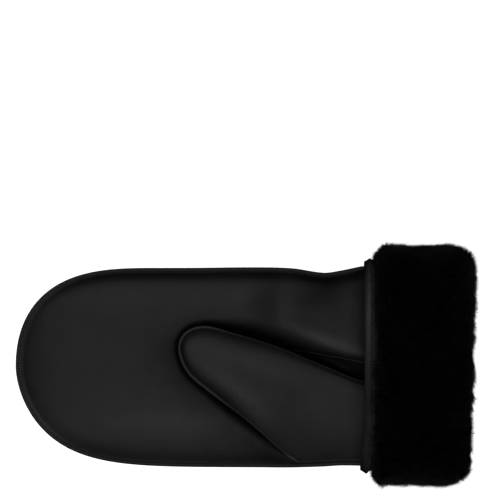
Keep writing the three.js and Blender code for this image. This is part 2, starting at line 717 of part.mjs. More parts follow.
add("palm_panel", palmPanel(), "leather");
add("back_panel_little_finger", backPanel(1), "leather");
add("back_panel_thumb", backPanel(-1), "leather");
add("back_seam_strip", backStrip(), "trim");
add("edge_welt", edgeWelt(), "trim");
add("thumb_upper_panel", thumbUpper(), "leather");
add("thumb_under_panel", thumbUnder(), "leather");
add("thumb_welt", thumbWelt(), "trim");
add("cuff_band", cuffBand(), "trim");
add("cuff_fur", cuffFur(), "fur");

const box = new THREE.Box3().setFromObject(mitten);
mitten.position.set(-(box.min.x + box.max.x) / 2, -(box.min.y + box.max.y) / 2, -box.min.z);

export default mitten;
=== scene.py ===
"""A left-hand leather mitten with a deep turned-back fur cuff, laid on its back with the thumb over the palm.

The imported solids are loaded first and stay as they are. Each visible piece is made here in finer form, in the
place of its solid. Lengths are millimetres until a mesh is made, which is in metres.
"""

import logging
import math
from collections.abc import Callable, Sequence
from dataclasses import dataclass, field
from enum import Enum

import bmesh
import bpy
import numpy as np
from mathutils import Matrix, Vector


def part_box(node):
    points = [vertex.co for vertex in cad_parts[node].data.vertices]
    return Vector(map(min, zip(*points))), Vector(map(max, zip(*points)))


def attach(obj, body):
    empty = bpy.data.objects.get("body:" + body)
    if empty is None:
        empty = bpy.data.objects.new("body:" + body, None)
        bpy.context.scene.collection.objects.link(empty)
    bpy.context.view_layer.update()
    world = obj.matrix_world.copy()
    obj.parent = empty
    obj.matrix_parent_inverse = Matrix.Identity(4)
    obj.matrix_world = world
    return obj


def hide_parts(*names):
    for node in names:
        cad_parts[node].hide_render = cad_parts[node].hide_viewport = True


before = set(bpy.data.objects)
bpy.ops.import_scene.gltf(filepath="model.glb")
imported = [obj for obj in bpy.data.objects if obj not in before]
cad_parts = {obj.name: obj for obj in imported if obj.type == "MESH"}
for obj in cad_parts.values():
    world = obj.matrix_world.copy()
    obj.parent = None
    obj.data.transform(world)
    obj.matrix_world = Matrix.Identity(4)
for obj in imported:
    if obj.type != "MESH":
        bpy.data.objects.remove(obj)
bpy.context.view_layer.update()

MM = 0.001
BODY = "root"
RUB_AND_SHEEN = "rub_and_sheen"  # attribute of lightness: rubbing and painted highlight on the leather, and each strand's lightness with a painted rim light near the cuff's outline
SHADE_AND_HIGHLIGHT = "shade_and_highlight"  # attribute of painted shade in the leather's colour, a painted highlight where negative, which also roughens the leather a little

AT_END = 1.0 - 1e-6  # a share above this is the last row or column of a grid

log = logging.getLogger("mitten")


# Numbers and curves


def smoothstep(value: np.ndarray, low: float, high: float) -> np.ndarray:
    """Goes smoothly from 0 at low to 1 at high.

    Args:
        value: The numbers to ease.
        low: Where the ease begins.
        high: Where it ends.

    Returns:
        Numbers from 0 to 1.
    """
    t = np.clip((value - low) / (high - low), 0.0, 1.0)
    return t * t * (3.0 - 2.0 * t)


def round_off(share: np.ndarray, power: float) -> np.ndarray:
    """Height of a superellipse of the given power, 1 in the middle and 0 at shares of -1 and 1."""
    return np.maximum(0.0, 1.0 - np.abs(share) ** power) ** (1.0 / power)


def squared(value: np.ndarray, power: float) -> np.ndarray:
    """A cosine or sine drawn towards 1, for a point on a superellipse."""
    return np.sign(value) * np.abs(value) ** (2.0 / power)


def bump_at(value: np.ndarray, middle: float, width: float) -> np.ndarray:
    """A bell of height 1 round middle, whose width is its standard deviation."""
    return np.exp(-0.5 * ((value - middle) / width) ** 2)


def waves(x: np.ndarray, y: np.ndarray, z: np.ndarray, length: float, seed: int) -> np.ndarray:
    """A smooth, aimless field of numbers, made of a few crossing waves.

    Args:
        x: First coordinate of each point.
        y: Second coordinate.
        z: Third coordinate.
        length: Length of the middle wave.
        seed: Picks the directions.

    Returns:
        Numbers about 0 with a spread of about 1.
    """
    draw = np.random.default_rng(seed)
    total = np.zeros(np.broadcast(x, y, z).shape)
    count = 7
    for _ in range(count):
        way = draw.normal(size=3)
        way *= 2.0 * math.pi / (length * draw.uniform(0.6, 1.6) * np.linalg.norm(way))
        total += np.sin(way[0] * x + way[1] * y + way[2] * z + draw.uniform(0.0, 2.0 * math.pi))
    return total * math.sqrt(2.0 / count)


def unit(vectors: np.ndarray) -> np.ndarray:
    """The vectors at length 1, along the last axis."""
    length = np.linalg.norm(vectors, axis=-1, keepdims=True)
    return vectors / np.maximum(length, 1e-9)


def running_length(line: np.ndarray) -> np.ndarray:
    """Length of a line of points up to each of them."""
    steps = np.linalg.norm(np.diff(line, axis=0), axis=1)
    return np.concatenate([[0.0], np.cumsum(steps)])


def read_at(lengths: np.ndarray, known: np.ndarray, values: np.ndarray) -> np.ndarray:
    """Each column of values, known at some lengths along a line, at other lengths."""
    return np.stack([np.interp(lengths, known, column) for column in values.T], axis=-1)


class Table:
    """Rows of numbers against a share along the piece, read as smooth curves.

    Attributes:
        along: The share of each row.
        columns: The other columns by name.
    """

    def __init__(self, names: Sequence[str], rows: Sequence[Sequence[float]]) -> None:
        """Keeps the rows.

        Args:
            names: Names of the columns after the first.
            rows: The share along, then a number for each name.
        """
        numbers = np.array(rows)
        self.along = numbers[:, 0]
        self.columns = {name: numbers[:, i + 1] for i, name in enumerate(names)}

    def at(self, name: str, along: np.ndarray) -> np.ndarray:
        """Reads a column by cubic pieces whose slopes are those of the rows beside.

        Args:
            name: Name of the column.
            along: Shares along the piece.

        Returns:
            The column's number at each share.
        """
        values, known = self.columns[name], self.along
        last = len(known) - 1
        beside = [(max(0, k - 1), min(last, k + 1)) for k in range(last + 1)]
        slopes = np.array([(values[q] - values[p]) / (known[q] - known[p]) for p, q in beside])
        a = np.clip(along, known[0], known[last])
        i = np.clip(np.searchsorted(known, a) - 1, 0, last - 1)
        span = known[i + 1] - known[i]
        t = (a - known[i]) / span
        return (
            values[i] * (1 + 2 * t) * (1 - t) ** 2
            + values[i + 1] * t * t * (3 - 2 * t)
            + slopes[i] * span * t * (1 - t) ** 2
            + slopes[i + 1] * span * t * t * (t - 1)
        )


class PlanCurve:
    """A smooth line through points of the plan.

    Attributes:
        points: The points that it passes.
    """

    FINE = 40  # samples between two points, for lengths

    def __init__(self, points: np.ndarray) -> None:
        """Keeps the points and measures the line."""
        self.points = np.asarray(points, float)
        self._fine = self.samples(self.FINE)
        self._length = running_length(self._fine)

    def samples(self, steps: int) -> np.ndarray:
        """Points of the line, closer together than its own.

        Args:
            steps: Pieces between two of its own points.

        Returns:
            Plan points, from its first point to its last.
        """
        p = self.points
        padded = np.vstack([2 * p[0] - p[1], p, 2 * p[-1] - p[-2]])
        out = []
        for k in range(len(p) - 1):
            a, b, c, d = padded[k : k + 4]
            t0, t1, t2 = (max(1e-6, float(np.linalg.norm(v)) ** 0.5) for v in (b - a, c - b, d - c))
            m1 = ((b - a) / t0 - (c - a) / (t0 + t1) + (c - b) / t1) * t1
            m2 = ((c - b) / t1 - (d - b) / (t1 + t2) + (d - c) / t2) * t1
            t = (np.arange(steps) / steps)[:, None]
            out.append(
                b * (2 * t**3 - 3 * t**2 + 1)
                + m1 * (t**3 - 2 * t**2 + t)
                + c * (3 * t**2 - 2 * t**3)
                + m2 * (t**3 - t**2)
            )
        return np.vstack([*out, p[-1:]])

    @property
    def length(self) -> float:
        """Length of the whole line."""
        return float(self._length[-1])

    def at(self, share: np.ndarray) -> np.ndarray:
        """Points at shares of the length."""
        return read_at(np.clip(share, 0.0, 1.0) * self.length, self._length, self._fine)


class Outline:
    """A closed outline in the plan, from which depths inside are measured."""

    def __init__(self, points: np.ndarray) -> None:
        """Keeps the corners in order."""
        self.points = np.asarray(points, float)

    def depth(self, x: np.ndarray, y: np.ndarray) -> np.ndarray:
        """How deep points lie inside the outline.

        Args:
            x: First coordinate of each point.
            y: Second coordinate.

        Returns:
            Distances from the outline, positive inside.
        """
        x, y = np.asarray(x, float), np.asarray(y, float)
        nearest = np.full(x.shape, np.inf)
        inside = np.zeros(x.shape, bool)
        for (ax, ay), (bx, by) in zip(self.points, np.roll(self.points, -1, axis=0)):
            span = (bx - ax) ** 2 + (by - ay) ** 2
            if span < 1e-12:
                continue
            along = np.clip(((x - ax) * (bx - ax) + (y - ay) * (by - ay)) / span, 0.0, 1.0)
            nearest = np.minimum(nearest, np.hypot(x - ax - along * (bx - ax), y - ay - along * (by - ay)))
            if ay != by:
                inside ^= ((ay > y) != (by > y)) & (x < (bx - ax) * (y - ay) / (by - ay) + ax)
        return np.where(inside, nearest, -nearest)


# Forms of the mitten


class Side(Enum):
    """The two sides of the hand, as signs of Y."""

    LITTLE = 1
    THUMB = -1


class Face(Enum):
    """The two faces of the hand."""

    PALM = "palm"
    BACK = "back"


@dataclass(frozen=True)
class TipCorner:
    """A round corner at the fingertips: its length as a share of the width, and its two exponents."""

    reach: float
    along: float
    across: float


@dataclass(frozen=True)
class SoftFold:
    """A soft ridge or dent in the leather.

    Attributes:
        x: Middle of it along the mitten.
        y: Middle of it across.
        half_length: Reach along its own line.
        half_width: Reach across that line.
        turn: Angle of its line from X, in degrees.
        rise: Height in the middle, negative for a dent.
    """

    x: float
    y: float
    half_length: float
    half_width: float
    turn: float
    rise: float

    def height(self, x: np.ndarray, y: np.ndarray) -> np.ndarray:
        """Height that the fold adds.

        Args:
            x: First coordinate of each point.
            y: Second coordinate.

        Returns:
            Millimetres to add at each point.
        """
        angle = math.radians(self.turn)
        dx, dy = x - self.x, y - self.y
        along = dx * math.cos(angle) + dy * math.sin(angle)
        across = dy * math.cos(angle) - dx * math.sin(angle)
        return self.rise * np.exp(-0.5 * ((along / self.half_length) ** 2 + (across / self.half_width) ** 2))


@dataclass(frozen=True)
class HandForm:
    """Shape of the hand: its solids' outline, with deeper dips. Shares run from the band to the fingertips.

    Attributes:
        rows: Width on each side, rise of the seam and fullness of the faces, as shares.
        rim_shares: Share of the palm's fullness that rises at its rim, on the thumb's side and the other.
        rim_widths: Length over which it rises there.
        recess_slope: How steeply the pleat falls, up to recess_reach from its line.
        pleat_ends: Shares between which the pleat runs out.
        band_hides: Distances past the band's edge between which the fall ends under it.
        rim_kept: Share of the fullness below which the rim keeps its height.
        folds_fade: Depths in the dip between which the soft folds fade.
        inner_fold: The soft ridge in the pleat.
        painted_patches: Soft patches of painted shade in the palm's colour, painted highlight where the rise is
            negative; they leave its shape alone.
        painted_shade_fade: Reach of the painted shade beside the thumb's dip: below the thumb, above it, and at the
            pleat.
        thumb_line: The thumb's middle line: a share across, its slope, and the share along of that place.
        dip_points: Plan of what lies lowest, in shares.
        dip: Depth and width of the fall to it, above the thumb and below it.
        hole_points: Plan of the thumb hole, in shares.
        folds: The soft folds of the palm.
    """

    length: float = 211.4
    width: float = 121.4
    shift: float = -1.3
    palm_loft: float = 14.8
    back_loft: float = 16.0
    loft_reach: float = 70.0
    seam_rest_height: float = 13.5
    tip_droop: float = 0.14
    leather: float = 1.6
    gap: float = 0.35
    welt_shows: float = 2.0
    welt_width: float = 3.9
    welt_height: float = 2.0
    strip_width: float = 3.9
    band_width: float = 5.2
    cuff_length: float = 62.6
    pocket: float = 9.0
    mid_height: float = 33.0
    power: float = 2.4
    little_corner: TipCorner = TipCorner(0.741, 3.27, 2.23)
    thumb_corner: TipCorner = TipCorner(1.384, 5.98, 1.69)
    rows: Table = field(
        default_factory=lambda: Table(
            ("little", "thumb", "lift", "palm", "back"),
            (
                (0.0, 1.016, 0.986, 1.0, 1.16, 1.06),
                (0.06, 0.972, 0.985, 0.84, 1.14, 1.1),
                (0.11, 0.95, 0.997, 0.7, 1.12, 1.12),
                (0.2, 0.994, 1.009, 0.45, 1.08, 1.12),
                (0.3, 1.004, 1.01, 0.24, 1.05, 1.08),
                (0.5, 0.998, 1.009, 0.06, 1.0, 1.0),
                (0.75, 0.998, 1.004, 0.0, 0.97, 0.92),
                (1.0, 0.998, 1.0, 0.0, 0.9, 0.86),
            ),
        )
    )
    rim_shares: tuple[float, float] = (0.06, 0.36)
    rim_widths: tuple[float, float] = (5.0, 1.7)
    allowance: float = 1.1
    tip_roundness: float = 0.5
    recess_slope: float = 1.0
    recess_reach: float = 12.0
    recess_floor: float = -12.6
    floor_ease: float = 2.5
    pleat_ends: tuple[float, float] = (0.15, 0.23)
    band_hides: tuple[float, float] = (1.5, 3.5)
    rim_kept: float = 0.32
    folds_fade: tuple[float, float] = (-4.0, 6.0)
    inner_fold: SoftFold = SoftFold(57.0, -0.9, 12.0, 1.1, -26.0, 2.0)
    # These folds paint shade into the palm's colour, highlight where the rise is negative, and leave its shape
    # alone.
    painted_patches: tuple[SoftFold, ...] = (
        SoftFold(50.5, 14.8, 17.0, 2.6, -19.0, -1.0),
        SoftFold(24.0, 38.0, 28.0, 14.0, 0.0, 0.15),
        SoftFold(10.0, 36.0, 14.0, 5.5, 78.0, 0.3),
        SoftFold(-2.0, 41.0, 9.0, 6.0, 60.0, -0.18),
        SoftFold(24.0, 40.0, 12.0, 4.0, 84.0, -0.22),
        SoftFold(47.0, 47.0, 12.0, 6.0, 20.0, 0.4),
        SoftFold(-50.0, -37.0, 40.0, 8.0, 2.0, -0.4),
        SoftFold(-45.0, 42.0, 40.0, 7.0, 0.0, -0.25),
        SoftFold(0.0, 5.0, 60.0, 30.0, 0.0, 0.08),
        SoftFold(25.0, -55.0, 8.0, 3.5, -25.0, 0.5),
    )
    painted_shade_fade: tuple[float, float, float] = (11.0, 5.5, 2.2)
    thumb_line: tuple[float, float, float] = (0.1, 0.976, 0.51)
    dip_points: tuple[tuple[float, float], ...] = (
        (-0.09, -0.005), (0.0, 0.026), (0.055, 0.046), (0.11, 0.063), (0.163, 0.079), (0.205, 0.087),
        (0.27, 0.114), (0.384, 0.172), (0.46, 0.195), (0.505, 0.165), (0.521, 0.1), (0.499, -0.012),
        (0.423, -0.13), (0.315, -0.283), (0.24, -0.4), (0.206, -0.453), (0.17, -0.6), (-0.09, -0.6),
    )
    dip: Table = field(
        default_factory=lambda: Table(
            ("depth", "width", "low_depth", "low_width"),
            (
                (-0.04, 3.5, 6.0, 0.8, 5.0),
                (0.0, 3.6, 6.0, 0.8, 5.0),
                (0.06, 4.2, 6.6, 0.8, 5.0),
                (0.11, 6.2, 8.5, 1.0, 5.0),
                (0.163, 8.5, 12.0, 1.4, 4.5),
                (0.22, 12.0, 18.0, 3.2, 6.2),
                (0.28, 12.5, 19.0, 5.2, 8.6),
                (0.34, 11.2, 16.5, 6.0, 10.0),
                (0.4, 8.2, 12.0, 5.8, 9.2),
                (0.46, 5.6, 8.5, 4.6, 8.0),
                (0.53, 4.2, 6.5, 4.2, 6.0),
            ),
        )
    )
    hole_points: tuple[tuple[float, float], ...] = (
        (-0.2, -0.165), (0.02, -0.165), (0.12, -0.082), (0.2, -0.02), (0.27, 0.0), (0.32, -0.035), (0.34, -0.11),
        (0.33, -0.19), (0.305, -0.26), (0.275, -0.325), (0.242, -0.38), (0.21, -0.43), (0.19, -0.46),
        (0.174, -0.485), (0.16, -0.6), (-0.2, -0.6),
    )
    folds: tuple[SoftFold, ...] = (
        SoftFold(23.5, 37.0, 13.0, 5.0, 84.0, 1.0),
        SoftFold(10.0, 36.0, 14.0, 6.5, 76.0, -1.2),
        SoftFold(46.0, 47.0, 10.0, 6.0, 30.0, -1.5),
        SoftFold(-4.0, 38.0, 14.0, 8.0, 80.0, 0.5),
        SoftFold(-55.0, -40.0, 34.0, 9.0, 4.0, 0.5),
        SoftFold(-70.0, 30.0, 30.0, 10.0, -6.0, 0.4),
        SoftFold(50.0, 17.5, 20.0, 3.6, -21.0, 0.9),
    )

    @property
    def hand_x(self) -> float:
        """The band's edge on the hand."""
        return self.length - (self.length + self.band_width + self.cuff_length) / 2

    @property
    def tip_x(self) -> float:
        """Outside of the fingertips."""
        return self.hand_x - self.length

    @property
    def hem_x(self) -> float:
        """Where the fur starts."""
        return self.hand_x + self.band_width + self.gap

    @property
    def end_x(self) -> float:
        """End of the leather, inside the cuff."""
        return self.hem_x + self.pocket - self.gap

    @property
    def seam_gap(self) -> float:
        """Between the leather edges, with the welt in it."""
        return self.welt_height + 2 * self.gap

    def along(self, x: np.ndarray) -> np.ndarray:
        """Share of the way from the band to the fingertips."""
        return (self.hand_x - x) / self.length

    def place(self, points: Sequence[tuple[float, float]]) -> np.ndarray:
        """Plan points in millimetres, from shares of the length and of the width."""
        table = np.array(points)
        x = self.hand_x - table[:, 0] * self.length
        return np.stack([x, self.shift + table[:, 1] * self.width], axis=-1)

    def half_width(self, x: np.ndarray, side: Side, inset: float) -> np.ndarray:
        """Half the hand's width on one side.

        Args:
            x: Places along the mitten.
            side: The side of the hand.
            inset: How far inside the outline the width is measured.

        Returns:
            The half width at each place.
        """
        name, corner = ("little", self.little_corner) if side is Side.LITTLE else ("thumb", self.thumb_corner)
        reach = corner.reach * self.width
        share = np.clip((self.tip_x + reach - x) / (reach - inset), 0.0, 1.0)
        full = self.width / 2 * self.rows.at(name, self.along(x)) - inset
        return full * (1.0 - share**corner.along) ** (1.0 / corner.across)

    def seam(self, x: np.ndarray) -> np.ndarray:
        """Height of the edge seam."""
        rest = self.seam_rest_height * (1.0 - self.tip_droop * smoothstep(self.along(x), 0.5, 1.0))
        return rest + (self.mid_height - rest) * self.rows.at("lift", self.along(x))

    def loft(self, x: np.ndarray, face: Face) -> np.ndarray:
        """Fullness over the middle, which rounds off at the fingertips.

        Args:
            x: Places along the mitten.
            face: The palm or the back.

        Returns:
            Height above or below the seam at each place.
        """
        ledge = self.welt_shows + (self.allowance if face is Face.PALM else 0.0)
        share = np.clip((self.tip_x + self.loft_reach - x) / (self.loft_reach - ledge), 0.0, 1.0)
        full = self.palm_loft if face is Face.PALM else self.back_loft
        rounded = self.tip_roundness if face is Face.PALM else 0.0
        tip = round_off(share, self.power) * (1.0 - rounded) + (1.0 - share**2) * rounded
        return full * self.rows.at(face.value, self.along(x)) * tip

    def across(self, x: np.ndarray, y: np.ndarray, inset: float) -> tuple[np.ndarray, np.ndarray]:
        """Where a point lies across the hand.

        Args:
            x: First coordinate of each point.
            y: Second coordinate.
            inset: Distance inside the outline at which the hand starts to fill.

        Returns:
            The share of the half width, from -1 on the thumb's side to 1 on the other, and that half width.
        """
        little = self.half_width(x, Side.LITTLE, inset)
        thumb = self.half_width(x, Side.THUMB, inset)
        half = np.maximum(np.where(y > self.shift, little, thumb), 1e-6)
        return np.clip((y - self.shift) / half, -1.0, 1.0) * (half > 1e-5), half

    def crown(self, x: np.ndarray, y: np.ndarray) -> np.ndarray:
        """Fullness of the palm across the hand: a steep rim and a gently curved face.

        Args:
            x: First coordinate of each point.
            y: Second coordinate.

        Returns:
            Shares of the fullness over the middle.
        """
        across, half = self.across(x, y, self.welt_shows + self.allowance)
        from_rim = (1.0 - np.abs(across)) * half
        side = smoothstep(across, -0.5, 0.5)
        rim, width = (thumb + (little - thumb) * side for thumb, little in (self.rim_shares, self.rim_widths))
        return rim * (1.0 - np.exp(-from_rim / width)) + (1.0 - rim) * (1.0 - across**2)

    def plain_top(self, x: np.ndarray, y: np.ndarray) -> np.ndarray:
        """Top of the hand without the fall towards the thumb."""
        return self.seam(x) + self.seam_gap / 2 + self.loft(x, Face.PALM) * self.crown(x, y)

    def top(self, x: np.ndarray, y: np.ndarray) -> np.ndarray:
        """Top of the hand with the fall towards the thumb, the recess of the pleat and the soft folds.

        Args:
            x: First coordinate of each point.
            y: Second coordinate.

        Returns:
            Heights above the table.
        """
        along = self.along(x)
        inside = self.dip_outline.depth(x, y)
        above = self.above(x, y)
        low = {name: self.dip.at("low_" + name, along) for name in ("width", "depth")}
        width = low["width"] + (self.dip.at("width", along) - low["width"]) * above
        depth = low["depth"] + (self.dip.at("depth", along) - low["depth"]) * above
        fall = depth * np.clip(1.0 + inside / width, 0.0, 1.0) ** 2
        pleated = above * (1.0 - smoothstep(along, *self.pleat_ends))
        recess = self.recess_slope * np.clip(inside, 0.0, self.recess_reach) - self.inner_fold.height(x, y)
        fall = fall + pleated * recess
        under_band = smoothstep(x - self.hand_x, *self.band_hides)
        hidden = under_band * smoothstep(y - self.recess_floor, 0.0, self.floor_ease)
        full = smoothstep(self.crown(x, y), 0.0, self.rim_kept)
        relief = sum(fold.height(x, y) for fold in self.folds) * full * smoothstep(-inside, *self.folds_fade)
        return self.plain_top(x, y) - fall * full * (1.0 - hidden) + relief

    def above(self, x: np.ndarray, y: np.ndarray) -> np.ndarray:
        """1 on the little finger's side of the thumb's middle line, and 0 on the other side."""
        line = (y - self.shift) / self.width - self.thumb_line[0]
        return smoothstep(line + self.thumb_line[1] * (self.thumb_line[2] - self.along(x)), -0.06, 0.08)

    def palm_shade_and_highlight(self, x: np.ndarray, y: np.ndarray, near: np.ndarray) -> np.ndarray:
        """How much shade and highlight is painted into the palm's colour: shade beside and under the thumb, in the
        pleat, along the rim and near the band.

        Args:
            x: First coordinate of each point.
            y: Second coordinate.
            near: Distance from the leather's edge.

        Returns:
            Numbers from 1 for full painted shade to less than 0 for a painted highlight.
        """
        low, high, pleat = self.painted_shade_fade
        above = self.above(x, y)
        fade = low + (pleat + (high - pleat) * smoothstep(self.along(x), 0.14, 0.27) - low) * above
        # Painted shade where the palm falls into the dip beside and under the thumb, fading away from the dip.
        dip_shade = np.exp(np.minimum(self.dip_outline.depth(x, y), 0.0) / fade) * (0.95 - 0.1 * above)
        # Painted highlight on the ledge at the fingertips, and painted shade just inside it.
        tip = (1.0 - smoothstep(near, 1.8, 3.2)) * (1.0 - smoothstep(x - self.tip_x, 8.0, 40.0))
        tip_shade = 0.25 * smoothstep(near, 2.4, 4.0) * (1.0 - smoothstep(x - self.tip_x, 4.0, 24.0))
        # Soft patches of painted shade and painted highlight.
        wear_and_painted_light = sum(fold.height(x, y) for fold in self.painted_patches)
        # Painted shade along the rim and towards the band.
        rim = 0.3 * smoothstep(near, 10.0, 3.5) * smoothstep(x - self.tip_x, 15.0, 50.0)
        band = 0.45 * smoothstep(x - self.hand_x, -10.0, 0.0) + 0.4 * smoothstep(x - self.hand_x, -3.0, 0.5)
        return dip_shade + wear_and_painted_light + tip_shade + rim - tip + band

    def bottom(self, x: np.ndarray, y: np.ndarray) -> np.ndarray:
        """Underside of the hand, flat where it rests."""
        hang = self.loft(x, Face.BACK) * round_off(self.across(x, y, self.welt_shows)[0], self.power)
        return np.maximum(0.0, self.seam(x) - self.seam_gap / 2 - hang)

    @property
    def dip_outline(self) -> Outline:
        """Plan of what lies lowest beside and under the thumb."""
        return Outline(PlanCurve(self.place(self.dip_points)).samples(9))

    @property
    def hole_outline(self) -> Outline:
        """Plan of the thumb hole."""
        return Outline(PlanCurve(self.place(self.hole_points)).samples(3))

    def edge_line(self, inset: float, end_x: float, step: float) -> np.ndarray:
        """The line that runs inset inside the outline, from the cuff round the fingertips and back.

        Args:
            inset: Distance from the outline.
            end_x: Where it starts and ends, near the cuff.
            step: Distance between its points.

        Returns:
            Plan points, the little finger's side first.
        """
        turn = np.linspace(0.0, math.pi / 2, 400)
        x = end_x - (end_x - self.tip_x - inset) * np.sin(turn)
        sides = []
        for side in Side:
            y = self.shift + side.value * self.half_width(x, side, inset)
            sides.append(np.stack([x, y], axis=-1))
        line = np.vstack([sides[0], sides[1][::-1][1:]])
        length = running_length(line)
        return read_at(np.linspace(0.0, length[-1], max(8, round(length[-1] / step))), length, line)


@dataclass(frozen=True)
class ThumbForm:
    """Shape of the thumb over the palm: its solids' plan, with a flatter top."""

    hand: HandForm
    loft: float = 7.2
    tip_flatter: float = 0.25
    roundness: float = 0.3
    seam_inset: float = 3.5
    seam_up: float = 0.9
    welt_thin: float = 0.55
    welt_swells: tuple[float, float] = (2.0, 24.0)
    drop: float = 8.0
    rise: float = 4.5
    tip_half_width: float = 13.0
    roll_depth: float = 3.0
    clearance: float = 2.4
    welt_shows: float = 1.3
    welt_width: float = 2.2
    welt_height: float = 1.5
    meets_seam: float = 0.178
    roll_fades: tuple[float, float] = (0.1, 0.5)
    palm_side_rises: tuple[float, float] = (0.12, 0.42)
    seam_side_rises: tuple[float, float] = (0.42, 0.64)
    swells: tuple[float, float] = (0.05, 0.45)
    tip_row: int = 7
    edge: tuple[tuple[float, float], ...] = (
        (-0.09, -0.09), (0.0, -0.071), (0.115, 0.008), (0.25, 0.103), (0.384, 0.172), (0.46, 0.195), (0.505, 0.165),
        (0.521, 0.1), (0.499, -0.012), (0.423, -0.13), (0.315, -0.283), (0.24, -0.4), (0.206, -0.453),
    )
    folds: tuple[SoftFold, ...] = (
        SoftFold(2.0, -11.0, 26.0, 6.0, -38.0, -0.45),
    )
    # These folds paint shade into the thumb's colour, highlight where the rise is negative, and leave its shape
    # alone.
    painted_patches: tuple[SoftFold, ...] = (
        SoftFold(2.0, 2.5, 26.0, 4.0, -20.5, -0.35),
        SoftFold(7.0, -28.0, 33.0, 5.0, -44.0, -0.5),
        SoftFold(34.0, -14.0, 20.0, 5.0, -13.0, 0.2),
    )

    @property
    def seam_gap(self) -> float:
        """Between the thumb's two leather edges, with its welt in it."""
        return self.welt_height + 2 * self.hand.gap

    def sides(self) -> tuple[PlanCurve, PlanCurve]:
        """The two edges from inside the cuff to the tip: over the palm, and along the edge seam."""
        steps = 8
        hand = self.hand
        line = PlanCurve(hand.place(self.edge)).samples(steps)
        over_palm = line[: self.tip_row * steps + 1]
        over_palm = over_palm[over_palm[:, 0] < hand.end_x]
        start = np.array([[hand.end_x, over_palm[0][1]]])
        x = np.linspace(hand.end_x, hand.hand_x - self.meets_seam * hand.length, 10)
        on_seam = np.stack([x, hand.shift - hand.half_width(x, Side.THUMB, self.seam_inset)], axis=-1)
        free = line[self.tip_row * steps :][::-1]
        return PlanCurve(np.vstack([start, over_palm])), PlanCurve(np.vstack([on_seam, free]))

    def roll(self, u: np.ndarray) -> np.ndarray:
        """How far the edge turns under, at a share of the way to the tip."""
        return self.roll_depth * (1.0 - smoothstep(u, *self.roll_fades))

    def lift(self, u: np.ndarray, across: np.ndarray) -> np.ndarray:
        """Rise above the undented palm.

        Args:
            u: Share of the way to the tip.
            across: From 1 on the palm's side to -1 on the seam's.

        Returns:
            Millimetres above the palm.
        """
        palm_side = smoothstep(u, *self.palm_side_rises)
        seam_side = smoothstep(u, *self.seam_side_rises)
        up = self.rise * (palm_side + (seam_side - palm_side) * (1.0 - across) / 2.0)
        return up + self.seam_up * (1.0 - seam_side) * (1.0 - across) / 2.0


@dataclass(frozen=True)
class CuffForm:
    """Shape of the turned-back cuff and of the band on its hem, with the sizes of their solids."""

    hand: HandForm
    width: float = 147.4
    height: float = 66.0
    squash: float = 1.6
    skew: float = -3.8
    mouth_width: float = 104.0
    mouth_height: float = 22.0
    mouth_fillet: float = 17.0
    hem_fillet: float = 6.0
    power: float = 2.7
    band_thickness: float = 3.6
    bow: float = 2.3

    def bowed(self, y: np.ndarray) -> np.ndarray:
        """How far the hem lies nearer the hand towards the thumb's side."""
        return self.bow * smoothstep(-y, 38.0, 60.0)

    @property
    def body_half_wide(self) -> float:
        """Half the width of what the band closes round."""
        return self.hand.width / 2 * self.hand.rows.columns["little"][0] + self.hand.gap

    @property
    def body_half_high(self) -> float:
        """Half the height of what the band closes round."""
        return self.hand.palm_loft * self.hand.rows.columns["palm"][0] + self.hand.seam_gap / 2 + self.hand.gap

    def oval(
        self, turn: np.ndarray, wide: np.ndarray, high: np.ndarray, power: float
    ) -> tuple[np.ndarray, np.ndarray]:
        """Points of an oval.

        Args:
            turn: Shares of a turn round it.
            wide: Half its width.
            high: Half its height.
            power: How square it is, where 2 is an ellipse.

        Returns:
            Across and up from its middle.
        """
        angle = 2.0 * math.pi * turn
        return wide * squared(np.cos(angle), power), high * squared(np.sin(angle), power)

    def point(self, x: np.ndarray, across: np.ndarray, up: np.ndarray, shift: np.ndarray) -> np.ndarray:
        """Points of the cuff, whose mouth slants and whose underside is flat where it rests.

        Args:
            x: Distance past the hem.
            across: Distance from the middle of its section there.
            up: Height above that middle.
            shift: How far that middle is moved across.

        Returns:
            The points in millimetres.
        """
        y = across + shift
        slant = self.skew * smoothstep(x, self.hand.pocket, self.hand.cuff_length) * -y / self.width
        z = np.maximum(0.0, self.hand.mid_height + up)
        return np.stack(np.broadcast_arrays(self.hand.hem_x + x + slant, y, z), axis=-1)


# Finishes


